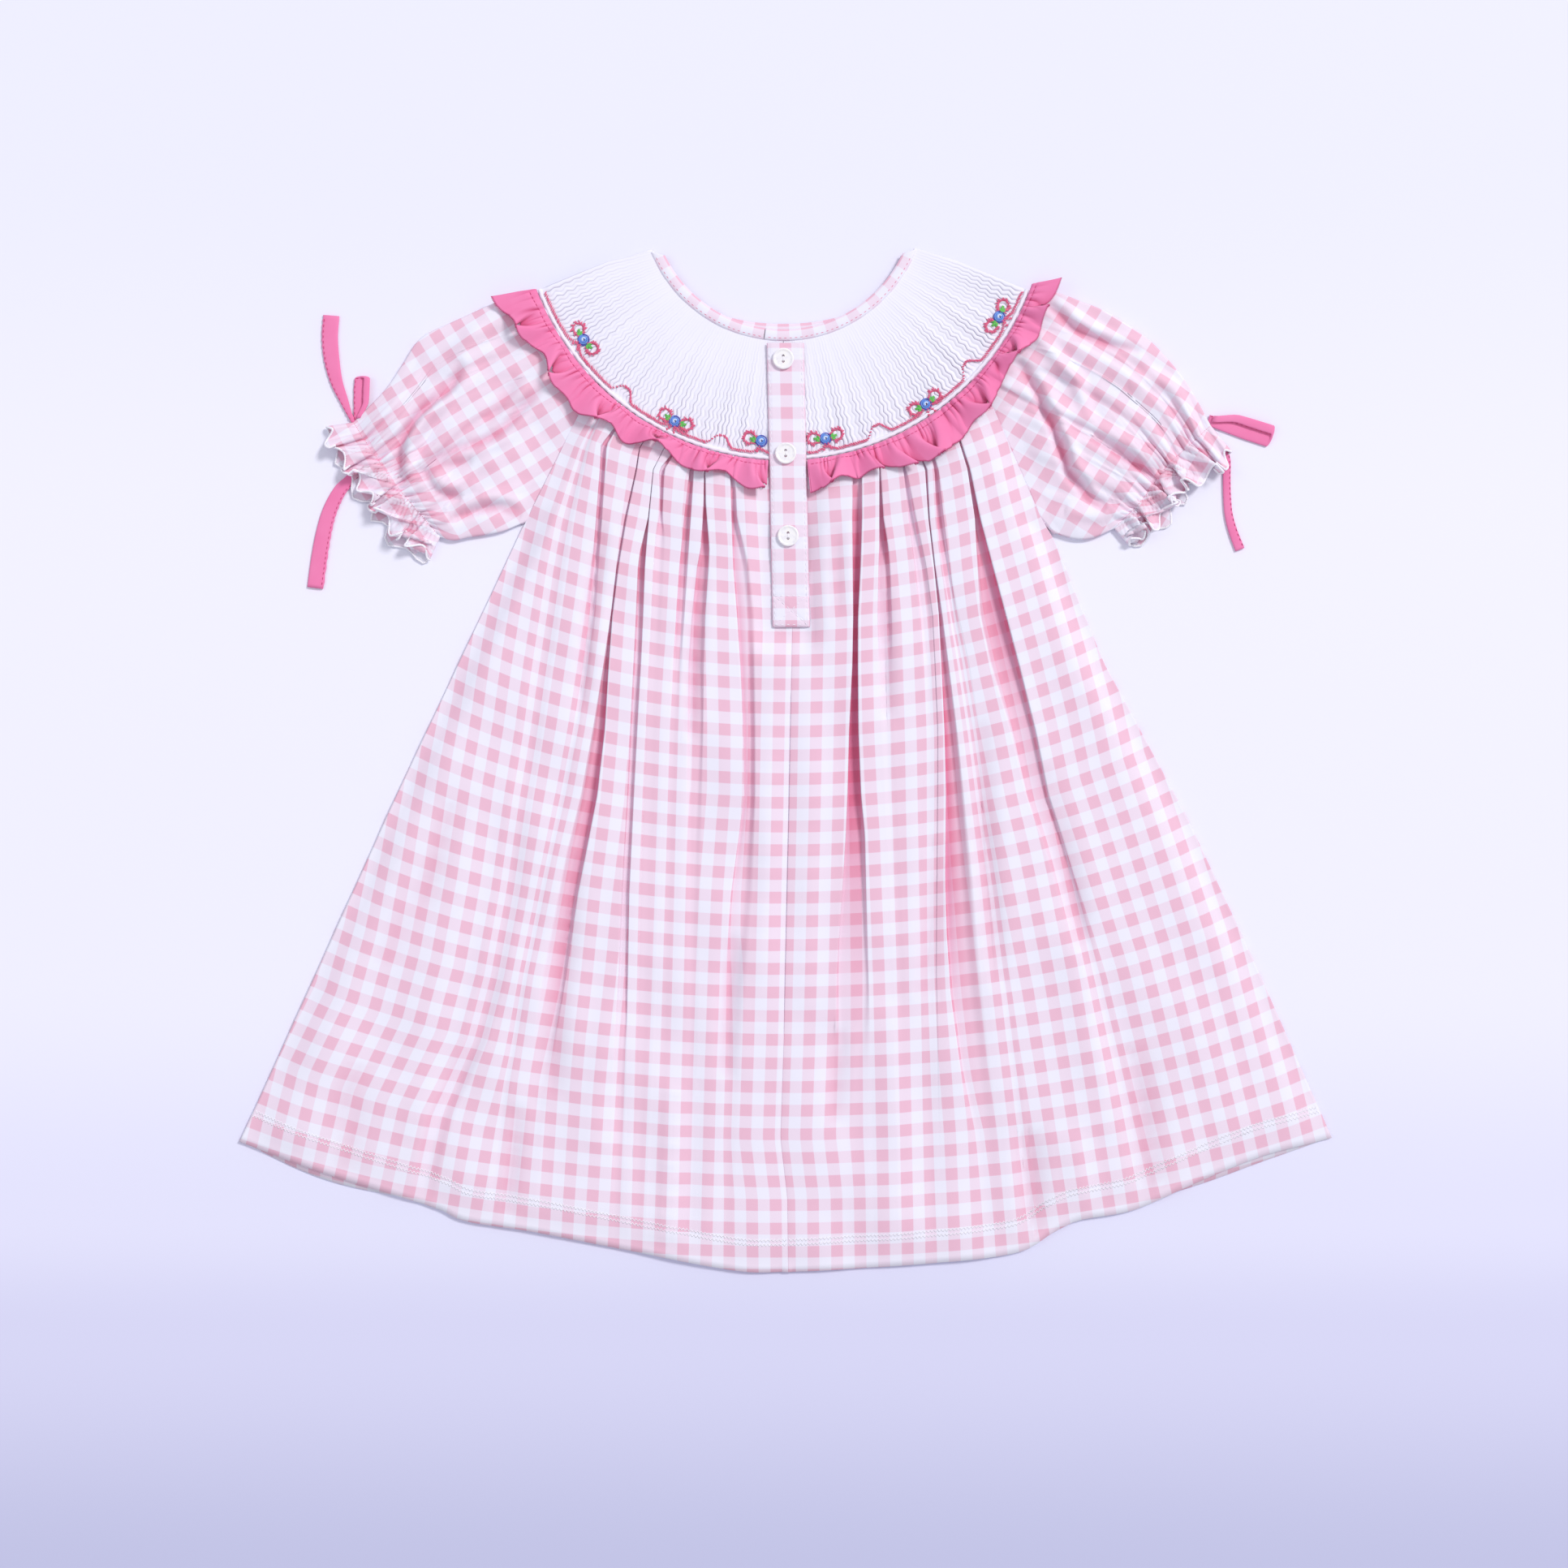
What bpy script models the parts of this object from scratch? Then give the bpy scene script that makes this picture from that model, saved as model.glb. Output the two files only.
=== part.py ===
"""A girl's smocked bishop dress, laid flat on its front with the buttoned back up.

Lengths are in millimetres until a mesh is made: x across the dress, y towards the neck, z up from
the surface it lies on. The smocked yoke is round, so what hangs from it is placed by a radius from
the middle of the neck and an angle from straight down, positive to the right.
"""
import math

import bmesh
import bpy
import numpy as np

MM = 0.001
WALL = 1.2
HALF = WALL / 2
SEAM = 0.3

NECK_X, NECK_Y = -1.3, 302.4
HOLE_R = 70.9
FRONT_DIP = 3.5
BINDING_OUT = 76.6
END_SLANT = 0.055
YOKE_R = 138.7
PIPE_R = 1.0
PIPE_RING = 140.0
SKIRT_R = 141.4
RAGLAN_DEG = 45.4
SHOULDER_DEG = 69.3

# Heights of the middle of each wall: the front lies on the floor, over its own ruffle near the yoke.
FRONT_LOW, FRONT_HIGH = 0.6, 2.1
BACK_LOW, BACK_HIGH = 2.3, 3.8
RUFFLE_REACH, RUFFLE_RAMP = 165.0, 182.0
RUFFLE_SEAM_Z, RUFFLE_EDGE_Z = 6.4, 9.6
SEAM_GATHER = 1.0

PLACKET_HALF = 9.7
PLACKET_X, PLACKET_SLANT = -0.2, 3.2
PLACKET_SEAM_X = 1.1
PLACKET_THICK = 1.5
PLACKET_TOP, PLACKET_BOTTOM = 224.0, 71.8
BUTTON_R = 5.7

# Outline of the skirt by halves: the raglan seam down to the underarm, then the straight side.
SIDE = {
    "left": [(-115.1, 178.1), (-139.2, 129.5), (-141.6, 125.5),
             (-158.9, 88.4), (-209.2, -18.0), (-283.6, -182.5), (-294.1, -205.2)],
    "right": [(111.6, 189.0), (119.4, 171.5), (136.5, 132.2), (144.0, 119.6),
              (171.5, 52.0), (215.3, -29.0), (250.3, -104.0), (294.1, -203.2)],
}
HEM = {
    "left": [(1.3, -275.3), (-27.6, -274.4), (-86.2, -263.4), (-134.8, -253.8), (-172.0, -248.0),
             (-187.0, -241.5), (-217.0, -231.9), (-252.1, -221.0), (-294.1, -205.2)],
    "right": [(1.3, -275.3), (35.9, -273.5), (79.6, -270.4), (124.0, -265.0), (144.0, -254.0),
              (158.0, -247.5), (187.0, -242.0), (215.3, -229.7), (254.7, -213.5), (294.1, -203.2)],
}
CENTRE_SEAM = [(3.5, 72.0), (1.8, -27.0), (-1.0, -150.0), (-2.8, -203.0),
               (0.9, -235.0), (1.3, -275.3)]

# Skirt folds. Each starts at an angle on the yoke seam and then passes, at each level, the given
# distance out from the middle with the given height. A negative lean turns its lip to the middle.
LEVELS = (150.0, 104.0, 38.0, -28.0, -115.0, -203.0)
SKIRT_FOLDS = {
    # seam angle, footprint, lean, distance out at each level, height at each level
    "left": [
        (5.6, 5.0, -0.2, (13.2, 13.0, 12.5, 12.0, 12.0, 12.0), (2.4, 1.8, 0.0, 0.0, 0.0, 0.0)),
        (8.6, 6.0, -0.4, (21.5, 20.5, 18.5, 16.5, 16.0, 16.0), (2.8, 1.6, 0.3, 0.0, 0.0, 0.0)),
        (12.4, 8.0, -0.9, (30.6, 28.9, 25.5, 23.8, 29.0, 35.0), (3.2, 5.2, 7.0, 7.5, 3.6, 1.2)),
        (16.6, 6.5, -0.5, (42.0, 44.2, 50.0, 52.0, 54.0, 56.0), (3.2, 4.0, 0.6, 0.0, 0.0, 0.0)),
        (20.4, 8.0, -0.8, (51.5, 58.2, 62.4, 64.5, 67.0, 70.0), (3.2, 6.0, 6.4, 4.2, 0.8, 0.4)),
        (24.4, 6.0, 0.3, (61.0, 66.5, 71.5, 74.0, 76.0, 80.0), (3.0, 2.4, 0.6, 0.0, 0.0, 0.0)),
        (28.0, 8.0, 0.9, (69.5, 77.4, 80.0, 83.6, 87.5, 92.0), (3.2, 6.2, 7.0, 7.2, 4.2, 1.4)),
        (32.2, 9.0, -0.8, (81.5, 90.0, 98.0, 107.0, 120.8, 133.0), (3.2, 5.6, 7.2, 8.0, 4.4, 1.6)),
        (36.8, 7.0, 0.5, (95.6, 103.0, 109.0, 118.0, 131.0, 144.0), (3.2, 3.6, 1.4, 0.0, 0.0, 0.0)),
        (40.8, 8.0, 0.4, (114.0, 127.0, 134.5, 141.3, 165.5, 181.0), (3.0, 3.4, 5.2, 6.4, 6.2, 4.6)),
        (43.6, 6.0, 0.4, (123.0, 137.0, 152.0, 168.0, 185.0, 203.0), (1.2, 1.0, 1.8, 3.0, 3.2, 2.6)),
    ],
    "right": [
        (6.8, 4.6, -0.2, (15.4, 16.6, 17.0, 17.0, 17.0, 17.0), (2.2, 1.2, 0.0, 0.0, 0.0, 0.0)),
        (10.8, 6.5, 0.3, (26.3, 27.4, 28.0, 27.5, 27.0, 26.5), (3.0, 2.4, 1.0, 0.6, 1.8, 1.6)),
        (15.4, 8.0, 0.9, (38.2, 38.4, 38.0, 38.2, 40.0, 44.0), (3.2, 6.2, 7.2, 7.8, 3.4, 0.8)),
        (20.4, 6.5, 0.5, (50.4, 53.4, 55.5, 57.0, 60.0, 64.0), (3.2, 4.4, 1.2, 0.0, 0.0, 0.0)),
        (25.2, 6.5, 0.4, (63.0, 70.6, 76.0, 75.0, 78.0, 82.0), (3.0, 3.6, 0.8, 0.0, 0.0, 0.0)),
        (29.4, 8.5, 0.9, (73.6, 79.8, 85.8, 88.0, 88.6, 98.0), (3.2, 5.6, 7.2, 7.8, 5.6, 3.0)),
        (33.4, 6.0, 0.4, (82.5, 89.0, 94.5, 99.0, 104.0, 112.0), (3.0, 2.6, 0.8, 0.4, 1.2, 0.8)),
        (37.0, 6.0, -0.3, (92.5, 97.0, 104.5, 110.0, 116.0, 124.0), (3.0, 2.6, 2.4, 2.6, 1.6, 1.0)),
        (40.6, 9.5, 0.9, (104.5, 108.0, 119.5, 133.5, 148.0, 153.0), (3.2, 7.0, 8.0, 7.6, 4.4, 4.4)),
        (43.6, 7.0, 0.3, (119.0, 125.0, 137.0, 152.0, 172.0, 190.0), (1.6, 1.4, 1.2, 2.4, 3.6, 4.0)),
    ],
}
SKIRT_ROWS = (0.0, 0.045, 0.10, 0.17, 0.28, 0.43, 0.60, 0.80, 1.0)

# Reach of the ruffle's wavy edge from the middle of the neck, by angle.
RUFFLE_EDGE = {
    "left": [(4.0, 157.0), (6.3, 159.5), (12.2, 150.0), (16.0, 155.0), (20.0, 155.0), (27.2, 147.5),
             (32.5, 158.5), (37.1, 152.5), (43.9, 162.0), (46.7, 157.6), (51.0, 160.5),
             (56.0, 152.5), (62.5, 161.3), (64.5, 158.0), (69.3, 165.0)],
    "right": [(4.0, 160.6), (8.0, 158.5), (12.5, 152.0), (14.0, 158.0), (17.5, 154.0), (24.3, 159.5),
              (28.5, 163.0), (36.0, 162.0), (40.5, 157.5), (43.0, 160.0), (50.7, 152.7),
              (56.3, 151.5), (60.0, 156.6), (65.0, 153.3), (69.3, 155.0)],
}
# angle of each ruffle wave, footprint at the edge, height at the edge, lean
RUFFLE_WAVES = {
    "left": [(7.0, 9.0, 4.5, -0.9), (12.3, 7.5, 5.0, 0.8), (18.0, 9.0, 4.5, -0.7), (24.0, 8.5, 5.0, 0.9),
             (30.5, 8.5, 5.5, -0.9), (36.8, 7.5, 5.0, 0.8), (43.0, 9.0, 5.5, -0.8), (49.3, 8.0, 4.5, 0.9),
             (56.0, 7.5, 5.0, -0.8), (61.0, 7.5, 4.5, 0.7), (65.8, 6.5, 4.0, -0.5)],
    "right": [(7.2, 9.0, 4.5, 0.8), (12.6, 7.5, 5.0, -0.8), (17.5, 7.5, 4.5, 0.7), (23.0, 8.5, 5.0, 0.9),
              (28.2, 8.0, 5.5, 0.9), (34.0, 9.0, 5.0, -0.8), (40.6, 8.0, 5.5, 0.9), (47.0, 8.0, 4.5, -0.7),
              (53.0, 7.5, 5.0, 0.8), (59.0, 8.0, 5.0, -0.8), (64.8, 6.5, 4.5, 0.6)],
}
RUFFLE_ROWS = (0.0, 0.3, 0.65, 1.0)

# Sleeves: the folded top edge, the underarm edge, the elastic line and the two edges of the frill.
SLEEVE = {
    "left": {
        "top": [(-134.5, 250.4), (-146.0, 249.5), (-160.0, 244.0), (-178.5, 235.9), (-196.0, 227.1),
                (-205.7, 213.1), (-215.4, 199.0), (-232.4, 181.6)],
        "under": [(-142.6, 127.6), (-154.0, 123.0), (-169.8, 120.3), (-178.5, 118.6), (-186.0, 120.3)],
        "elastic": [(-232.4, 181.6), (-224.5, 169.4), (-211.4, 150.5), (-201.7, 138.5), (-186.0, 120.3)],
        "frill": [(-248.0, 181.0), (-241.0, 165.0), (-228.0, 148.0), (-214.0, 127.0), (-196.0, 113.5)],
        "frill_under": [(-246.0, 178.0), (-236.0, 152.0), (-221.0, 132.0), (-209.0, 115.5), (-187.5, 102.5)],
    },
    "right": {
        "top": [(131.6, 249.6), (144.0, 254.6), (165.0, 249.0), (182.5, 241.6), (197.8, 232.8),
                (209.6, 217.5), (218.4, 203.5), (228.5, 180.0)],
        "under": [(145.4, 122.2), (156.2, 119.2), (165.0, 119.9), (176.8, 125.0)],
        "elastic": [(228.5, 180.0), (213.1, 165.8), (205.2, 158.7), (191.2, 139.6), (176.8, 125.0)],
        "frill": [(241.0, 168.0), (229.0, 153.5), (213.0, 147.0), (203.5, 131.0), (183.0, 117.5)],
        "frill_under": [(238.5, 164.5), (220.6, 151.0), (211.0, 137.0), (196.0, 119.5), (187.0, 113.5)],
    },
}
# Sleeve folds: place between the top edge and the underarm, and height, at each of four sections.
SLEEVE_SECTIONS = (0.0, 0.33, 0.66, 1.0)
SLEEVE_FOLDS = {
    # footprint, lean, place at each section, height at each section
    "left": [
        (6.0, 0.3, (0.08, 0.09, 0.10, 0.10), (0.8, 2.0, 2.2, 2.6)),
        (7.0, 0.5, (0.17, 0.18, 0.21, 0.23), (0.9, 3.4, 3.4, 2.8)),
        (6.0, -0.3, (0.26, 0.28, 0.32, 0.36), (0.9, 2.4, 2.0, 2.8)),
        (7.0, 0.5, (0.35, 0.40, 0.45, 0.49), (0.9, 3.6, 4.2, 3.0)),
        (6.0, -0.4, (0.48, 0.53, 0.58, 0.62), (0.0, 1.2, 2.6, 2.8)),
        (7.0, 0.4, (0.62, 0.66, 0.70, 0.75), (0.0, 0.8, 3.2, 2.8)),
        (6.0, -0.3, (0.80, 0.82, 0.85, 0.88), (0.0, 1.6, 3.0, 2.6)),
    ],
    "right": [
        (6.0, 0.3, (0.08, 0.09, 0.10, 0.10), (0.8, 2.6, 2.6, 2.6)),
        (7.0, -0.5, (0.17, 0.19, 0.22, 0.23), (0.9, 4.0, 3.6, 2.8)),
        (7.0, 0.6, (0.26, 0.29, 0.33, 0.36), (0.9, 4.2, 3.0, 2.8)),
        (8.0, 0.8, (0.36, 0.44, 0.48, 0.49), (0.9, 5.2, 4.4, 3.0)),
        (6.0, -0.4, (0.50, 0.56, 0.60, 0.62), (0.0, 2.6, 3.4, 2.8)),
        (7.0, 0.5, (0.64, 0.68, 0.72, 0.75), (0.0, 1.8, 3.4, 2.8)),
        (6.0, -0.3, (0.82, 0.84, 0.86, 0.88), (0.0, 1.4, 2.4, 2.6)),
    ],
}
SLEEVE_ROWS = (0.0, 0.10, 0.25, 0.45, 0.66, 0.85, 1.0)
FRILL_ROWS = (0.4, 1.0)
PUFF = 3.2
UNDER_STEPS = 10

YOKE_RIDGES = 22
RIDGE_NECK, RIDGE_EDGE = 0.25, 0.85
YOKE_RINGS = (BINDING_OUT + SEAM, 92.0, 108.0, 124.0, YOKE_R)

# Ties: straps of flattened tube, flat on the floor. Middle line and width at each point.
TIE_THICK = 1.4
TIES = {
    # x, y, width
    "tie_left_tail_up": [(-235.0, 186.6, 2.8), (-238.0, 194.0, 4.6), (-242.0, 204.0, 6.6), (-244.6, 216.0, 8.4),
                         (-245.6, 228.0, 8.8), (-244.8, 239.6, 8.8)],
    "tie_left_tail_down": [(-235.6, 150.2, 6.0), (-240.4, 145.0, 7.0), (-245.6, 134.5, 7.8), (-249.0, 122.0, 8.4),
                           (-251.4, 108.0, 8.8), (-253.4, 92.9, 8.8)],
    "tie_right_tail_down": [(237.6, 161.5, 4.2), (237.6, 152.0, 4.2), (237.8, 143.0, 4.2), (238.6, 133.0, 4.4),
                            (241.0, 123.5, 4.8), (244.8, 113.6, 5.2)],
}
# Tie loops: root, tip, width, and how far the upper run has slipped sideways.
LOOPS = {
    "tie_left_loop": ((-231.4, 185.7), (-230.4, 206.4), 4.4, 3.4),
    "tie_right_loop": ((231.2, 182.2), (261.8, 173.6), 7.4, 1.6),
}


def clear_scene():
    for thing in list(bpy.data.objects):
        bpy.data.objects.remove(thing, do_unlink=True)


def material(name, colour, roughness):
    """A plain finish in the piece's own colour."""
    mat = bpy.data.materials.new(name)
    mat.use_nodes = True
    shader = mat.node_tree.nodes["Principled BSDF"]
    shader.inputs["Base Color"].default_value = (*colour, 1.0)
    shader.inputs["Roughness"].default_value = roughness
    shader.inputs["Metallic"].default_value = 0.0
    return mat


def polar(radius, degrees):
    """Point at a radius from the middle of the neck and an angle from straight down."""
    angle = np.radians(degrees)
    return np.stack([NECK_X + radius * np.sin(angle), NECK_Y - radius * np.cos(angle)], -1)


def along(points, fraction):
    """Point at a fraction of the length of a line through points."""
    line = np.asarray(points, float)
    run = np.concatenate([[0.0], np.cumsum(np.hypot(*np.diff(line, axis=0).T))])
    place = np.asarray(fraction) * run[-1]
    return np.stack([np.interp(place, run, line[:, axis]) for axis in range(line.shape[1])], -1)


def rounded(points, steps=12):
    """The same line with its corners rounded, as a smooth curve through its points."""
    line = np.asarray(points, float)
    padded = np.vstack([2 * line[0] - line[1], line, 2 * line[-1] - line[-2]])
    out = []
    for first in range(len(line) - 1):
        p0, p1, p2, p3 = padded[first:first + 4]
        for f in np.arange(steps) / steps:
            out.append(0.5 * (2 * p1 + (p2 - p0) * f + (2 * p0 - 5 * p1 + 4 * p2 - p3) * f ** 2
                              + (3 * p1 - p0 - 3 * p2 + p3) * f ** 3))
    out.append(line[-1])
    return np.array(out)


def patch(start, end, near, far, u, v):
    """Surface between four edges: start and end at v 0 and 1, near and far at u 0 and 1."""
    flat = (1 - v) * start(u) + v * end(u)
    near_gap = near(v) - ((1 - v) * start(0.0) + v * end(0.0))
    far_gap = far(v) - ((1 - v) * start(1.0) + v * end(1.0))
    share = np.asarray(u)[..., None]
    return flat + (1 - share) ** 2 * near_gap + share ** 2 * far_gap


def lift(x, y, low, high):
    """Height of a wall that rises over the front ruffle near the yoke."""
    reach = np.hypot(x - NECK_X, y - NECK_Y)
    return np.interp(reach, (RUFFLE_REACH, RUFFLE_RAMP), (high, low))


# Shape of one fold: a strip whose slope swings up to an angle and back down. A larger angle makes
# it taller and narrower. The tables give width and height, for a strip 1 long, for each angle.
SWINGS = np.linspace(0.0, 2.05, 42)
STRIP = np.linspace(0.0, 1.0, 65)


def swing_curve(swing):
    slope = swing * np.sin(2 * math.pi * STRIP)
    step = STRIP[1]
    middle = (slope[1:] + slope[:-1]) / 2
    run = np.concatenate([[0.0], np.cumsum(np.cos(middle) * step)])
    rise = np.concatenate([[0.0], np.cumsum(np.sin(middle) * step)])
    return run, rise


SWING_RUN = np.array([swing_curve(s)[0][-1] for s in SWINGS])
SWING_RISE = np.array([swing_curve(s)[1].max() for s in SWINGS])


def pleated_row(length, folds, fold_steps, flat_steps):
    """Cross-section of a pleated row: place along the row and height, with the same columns each time.

    Each fold is (place, footprint, height, lean)."""
    place, height = [0.0], [0.0]
    spots = np.array([fold[0] for fold in folds])
    feet = np.array([fold[1] for fold in folds])
    room = np.diff(np.concatenate([[0.0], spots, [length]]))
    room[1:-1] /= 2
    feet = np.minimum(feet, 1.9 * np.minimum(room[:-1], room[1:]))
    begin = 0.0
    for (spot, _, tall, lean), foot in zip(folds, feet):
        flat_end = spot - foot / 2
        tall = tall * np.clip((foot - 2 * WALL) / (2 * WALL), 0.0, 1.0)
        for step in range(1, flat_steps + 1):
            place.append(begin + (flat_end - begin) * step / flat_steps)
            height.append(0.0)
        swing = np.interp(tall / foot, SWING_RISE / SWING_RUN, SWINGS)
        run, rise = swing_curve(swing)
        scale = foot / run[-1]
        for step in range(1, fold_steps + 1):
            share = step / fold_steps
            up = scale * np.interp(share, STRIP, rise)
            place.append(flat_end + scale * np.interp(share, STRIP, run) + lean * up)
            height.append(up)
        begin = spot + foot / 2
    for step in range(1, flat_steps + 1):
        place.append(begin + (length - begin) * step / flat_steps)
        height.append(0.0)
    return np.array(place), np.array(height)


def normals(grid, closed=False):
    """Outward direction at each point of a grid of rows and columns."""
    if closed:
        across = np.roll(grid, -1, axis=1) - np.roll(grid, 1, axis=1)
    else:
        across = np.gradient(grid, axis=1)
    down = np.gradient(grid, axis=0)
    out = np.cross(across, down)
    return out / np.linalg.norm(out, axis=-1, keepdims=True)


def face_out(bm):
    """Turn the faces of a closed mesh outwards."""
    bmesh.ops.recalc_face_normals(bm, faces=bm.faces[:])
    if bm.calc_volume(signed=True) < 0:
        bmesh.ops.reverse_faces(bm, faces=bm.faces[:])


def wall(name, outer, inner, finish, closed=False):
    """A closed wall between an outer and an inner grid of points, rows by columns."""
    rows, columns = outer.shape[:2]
    mesh_columns = columns + 1 if closed else columns
    bm = bmesh.new()
    bmesh.ops.create_grid(bm, x_segments=mesh_columns - 1, y_segments=rows - 1, size=0.5)
    bmesh.ops.solidify(bm, geom=bm.faces[:], thickness=0.1)
    top = max(vert.co.z for vert in bm.verts)
    ends = []
    for vert in bm.verts:
        row = round((vert.co.y + 0.5) * (rows - 1))
        column = round((vert.co.x + 0.5) * (mesh_columns - 1))
        side = outer if vert.co.z > top - 0.05 else inner
        vert.co = side[row, column % columns] * MM
        if closed and column in (0, mesh_columns - 1):
            ends.append(vert)
    if closed:
        rims = [face for face in bm.faces if all(vert in ends for vert in face.verts)]
        bmesh.ops.delete(bm, geom=rims, context="FACES_ONLY")
        bmesh.ops.remove_doubles(bm, verts=bm.verts[:], dist=0.00001)
    face_out(bm)
    mesh = bpy.data.meshes.new(name)
    bm.to_mesh(mesh)
    bm.free()
    mesh.shade_smooth()
    mesh.materials.append(finish)
    piece = bpy.data.objects.new(name, mesh)
    dress.objects.link(piece)
    return piece


def cloth(name, grid, finish, closed=False):
    """A wall of even thickness about a grid of middle points."""
    out = normals(grid, closed) * HALF
    return wall(name, grid + out, grid - out, finish, closed)


def on_line(line, place, height):
    """Points over a flat line: a place along it and a height above it."""
    flat = along(line, np.clip(place, 0.0, None) / line_length(line))
    return np.column_stack([flat, height])


def line_length(line):
    return float(np.hypot(*np.diff(np.asarray(line, float), axis=0).T).sum())


def skirt_layout(side, u, v):
    """Flat place of a skirt point: u from the centre seam to the side, v from the yoke to the hem."""
    sign = -1 if side == "left" else 1
    gap = np.array([sign * SEAM / 2, 0.0])
    centre = np.vstack([polar(SKIRT_R, 0.0), CENTRE_SEAM])
    edge = np.vstack([polar(SKIRT_R, sign * RAGLAN_DEG), SIDE[side]])
    return patch(lambda f: polar(SKIRT_R, sign * RAGLAN_DEG * np.asarray(f)),
                 lambda f: along(rounded(HEM[side]), f),
                 lambda f: along(centre, f) + gap,
                 lambda f: along(edge, f), u, v)


def skirt_row(side, v, fold_steps, flat_steps):
    """One pleated row of the back of the skirt."""
    sign = -1 if side == "left" else 1
    share = np.linspace(0.0, 1.0, 161)
    line = skirt_layout(side, share, v)
    run = np.concatenate([[0.0], np.cumsum(np.hypot(*np.diff(line, axis=0).T))])
    folds = []
    for degrees, foot, lean, out, tall in SKIRT_FOLDS[side]:
        seam_x, seam_y = polar(SKIRT_R, sign * degrees)
        levels = np.array([seam_y, *LEVELS, -290.0])
        reach = np.array([sign * seam_x, *out, 2 * out[-1] - out[-2] * 1.0])
        heights = np.array([SEAM_GATHER, *tall, tall[-1]])
        route = np.interp(-line[:, 1], -levels, reach)
        spot = np.interp(0.0, sign * line[:, 0] - route, run)
        level = np.interp(spot, run, line[:, 1])
        seam_share = np.interp(v, (0.0, 0.03, 0.10), (0.0, 0.3, 1.0))
        rise = np.interp(-level, -levels, heights)
        folds.append((spot, foot, SEAM_GATHER + (rise - SEAM_GATHER) * seam_share, lean))
    place, height = pleated_row(run[-1], folds, fold_steps, flat_steps)
    base = on_line(line, place, height)
    base[:, 2] += lift(base[:, 0], base[:, 1], BACK_LOW, BACK_HIGH)
    return base


def make_skirt_back(side):
    grid = np.array([skirt_row(side, v, 6, 1) for v in SKIRT_ROWS])
    if side == "left":
        grid = grid[:, ::-1]
    cloth(f"skirt_back_{side}", grid, gingham)


def make_skirt_front():
    """The front of the skirt in one width, flat, its hem showing just past the back's."""
    rows = []
    for v in SKIRT_ROWS:
        left = skirt_layout("left", np.linspace(1.0, 0.08, 13), v)
        right = skirt_layout("right", np.linspace(0.08, 1.0, 13), v)
        row = np.vstack([left, right])
        peek = 3.4 * np.clip(np.cos((np.abs(row[:, 0]) - 248.0) / 42.0 * math.pi / 2), 0.0, None)
        row[:, 1] -= np.where(np.abs(np.abs(row[:, 0]) - 248.0) < 42.0, peek, 0.0) * max(0.0, v - 0.8) / 0.2
        rows.append(np.column_stack([row, lift(row[:, 0], row[:, 1], FRONT_LOW, FRONT_HIGH)]))
    grid = np.array(rows)
    up = np.array([0.0, 0.0, HALF])
    wall("skirt_front", grid + up, grid - up, gingham)


def placket_deg(side, radius):
    """Angle at which a ring reaches the edge of the placket, where the yoke seam passes under it."""
    sign = -1 if side == "left" else 1
    reach = sign * (PLACKET_SEAM_X - NECK_X) + PLACKET_HALF + 0.8
    return math.degrees(math.asin(reach / radius))


def ruffle_row(side, share, fold_steps, flat_steps):
    """One arc of the back ruffle, from its seam at share 0 to its wavy edge at share 1."""
    sign = -1 if side == "left" else 1
    degrees = np.linspace(placket_deg(side, SKIRT_R), SHOULDER_DEG, 141)
    edge = np.interp(degrees, *np.array(RUFFLE_EDGE[side]).T)
    radius = SKIRT_R + 0.2 + (edge - SKIRT_R) * share
    line = polar(radius, sign * degrees)
    run = np.concatenate([[0.0], np.cumsum(np.hypot(*np.diff(line, axis=0).T))])
    folds = []
    for angle, foot, tall, lean in RUFFLE_WAVES[side]:
        spot = np.interp(angle, degrees, run)
        folds.append((spot, foot * (0.72 + 0.28 * share), 0.8 + (tall - 0.8) * share, lean * share))
    place, height = pleated_row(run[-1], folds, fold_steps, flat_steps)
    row = on_line(line, place, height)
    row[:, 2] += RUFFLE_SEAM_Z + (RUFFLE_EDGE_Z - RUFFLE_SEAM_Z) * share ** 0.7
    return row


def make_ruffle_back(side):
    grid = np.array([ruffle_row(side, share, 4, 1) for share in RUFFLE_ROWS])
    if side == "left":
        grid = grid[:, ::-1]
    cloth(f"ruffle_back_{side}", grid, pink)


def make_ruffle_front():
    """The front ruffle, pressed flat between the skirt and the floor."""
    degrees = np.linspace(-SHOULDER_DEG, SHOULDER_DEG, 45)
    edge = 158.5 + 2.5 * np.cos(np.radians(degrees * 24))
    rows = [polar(SKIRT_R + 0.2 + (edge - SKIRT_R) * share, degrees) for share in (0.0, 1.0)]
    low = np.array([np.column_stack([row, np.zeros(len(row))]) for row in rows])
    wall("ruffle_front", low + np.array([0.0, 0.0, WALL]), low, pink)


def shoulder(side, radius):
    """Angle of the shoulder fold, which bows up a little between the neck and the ruffle."""
    neck, middle = (67.4, 70.0) if side == "left" else (69.0, 70.0)
    return np.interp(radius, (HOLE_R, 100.0, YOKE_R), (neck, middle, SHOULDER_DEG))


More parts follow.
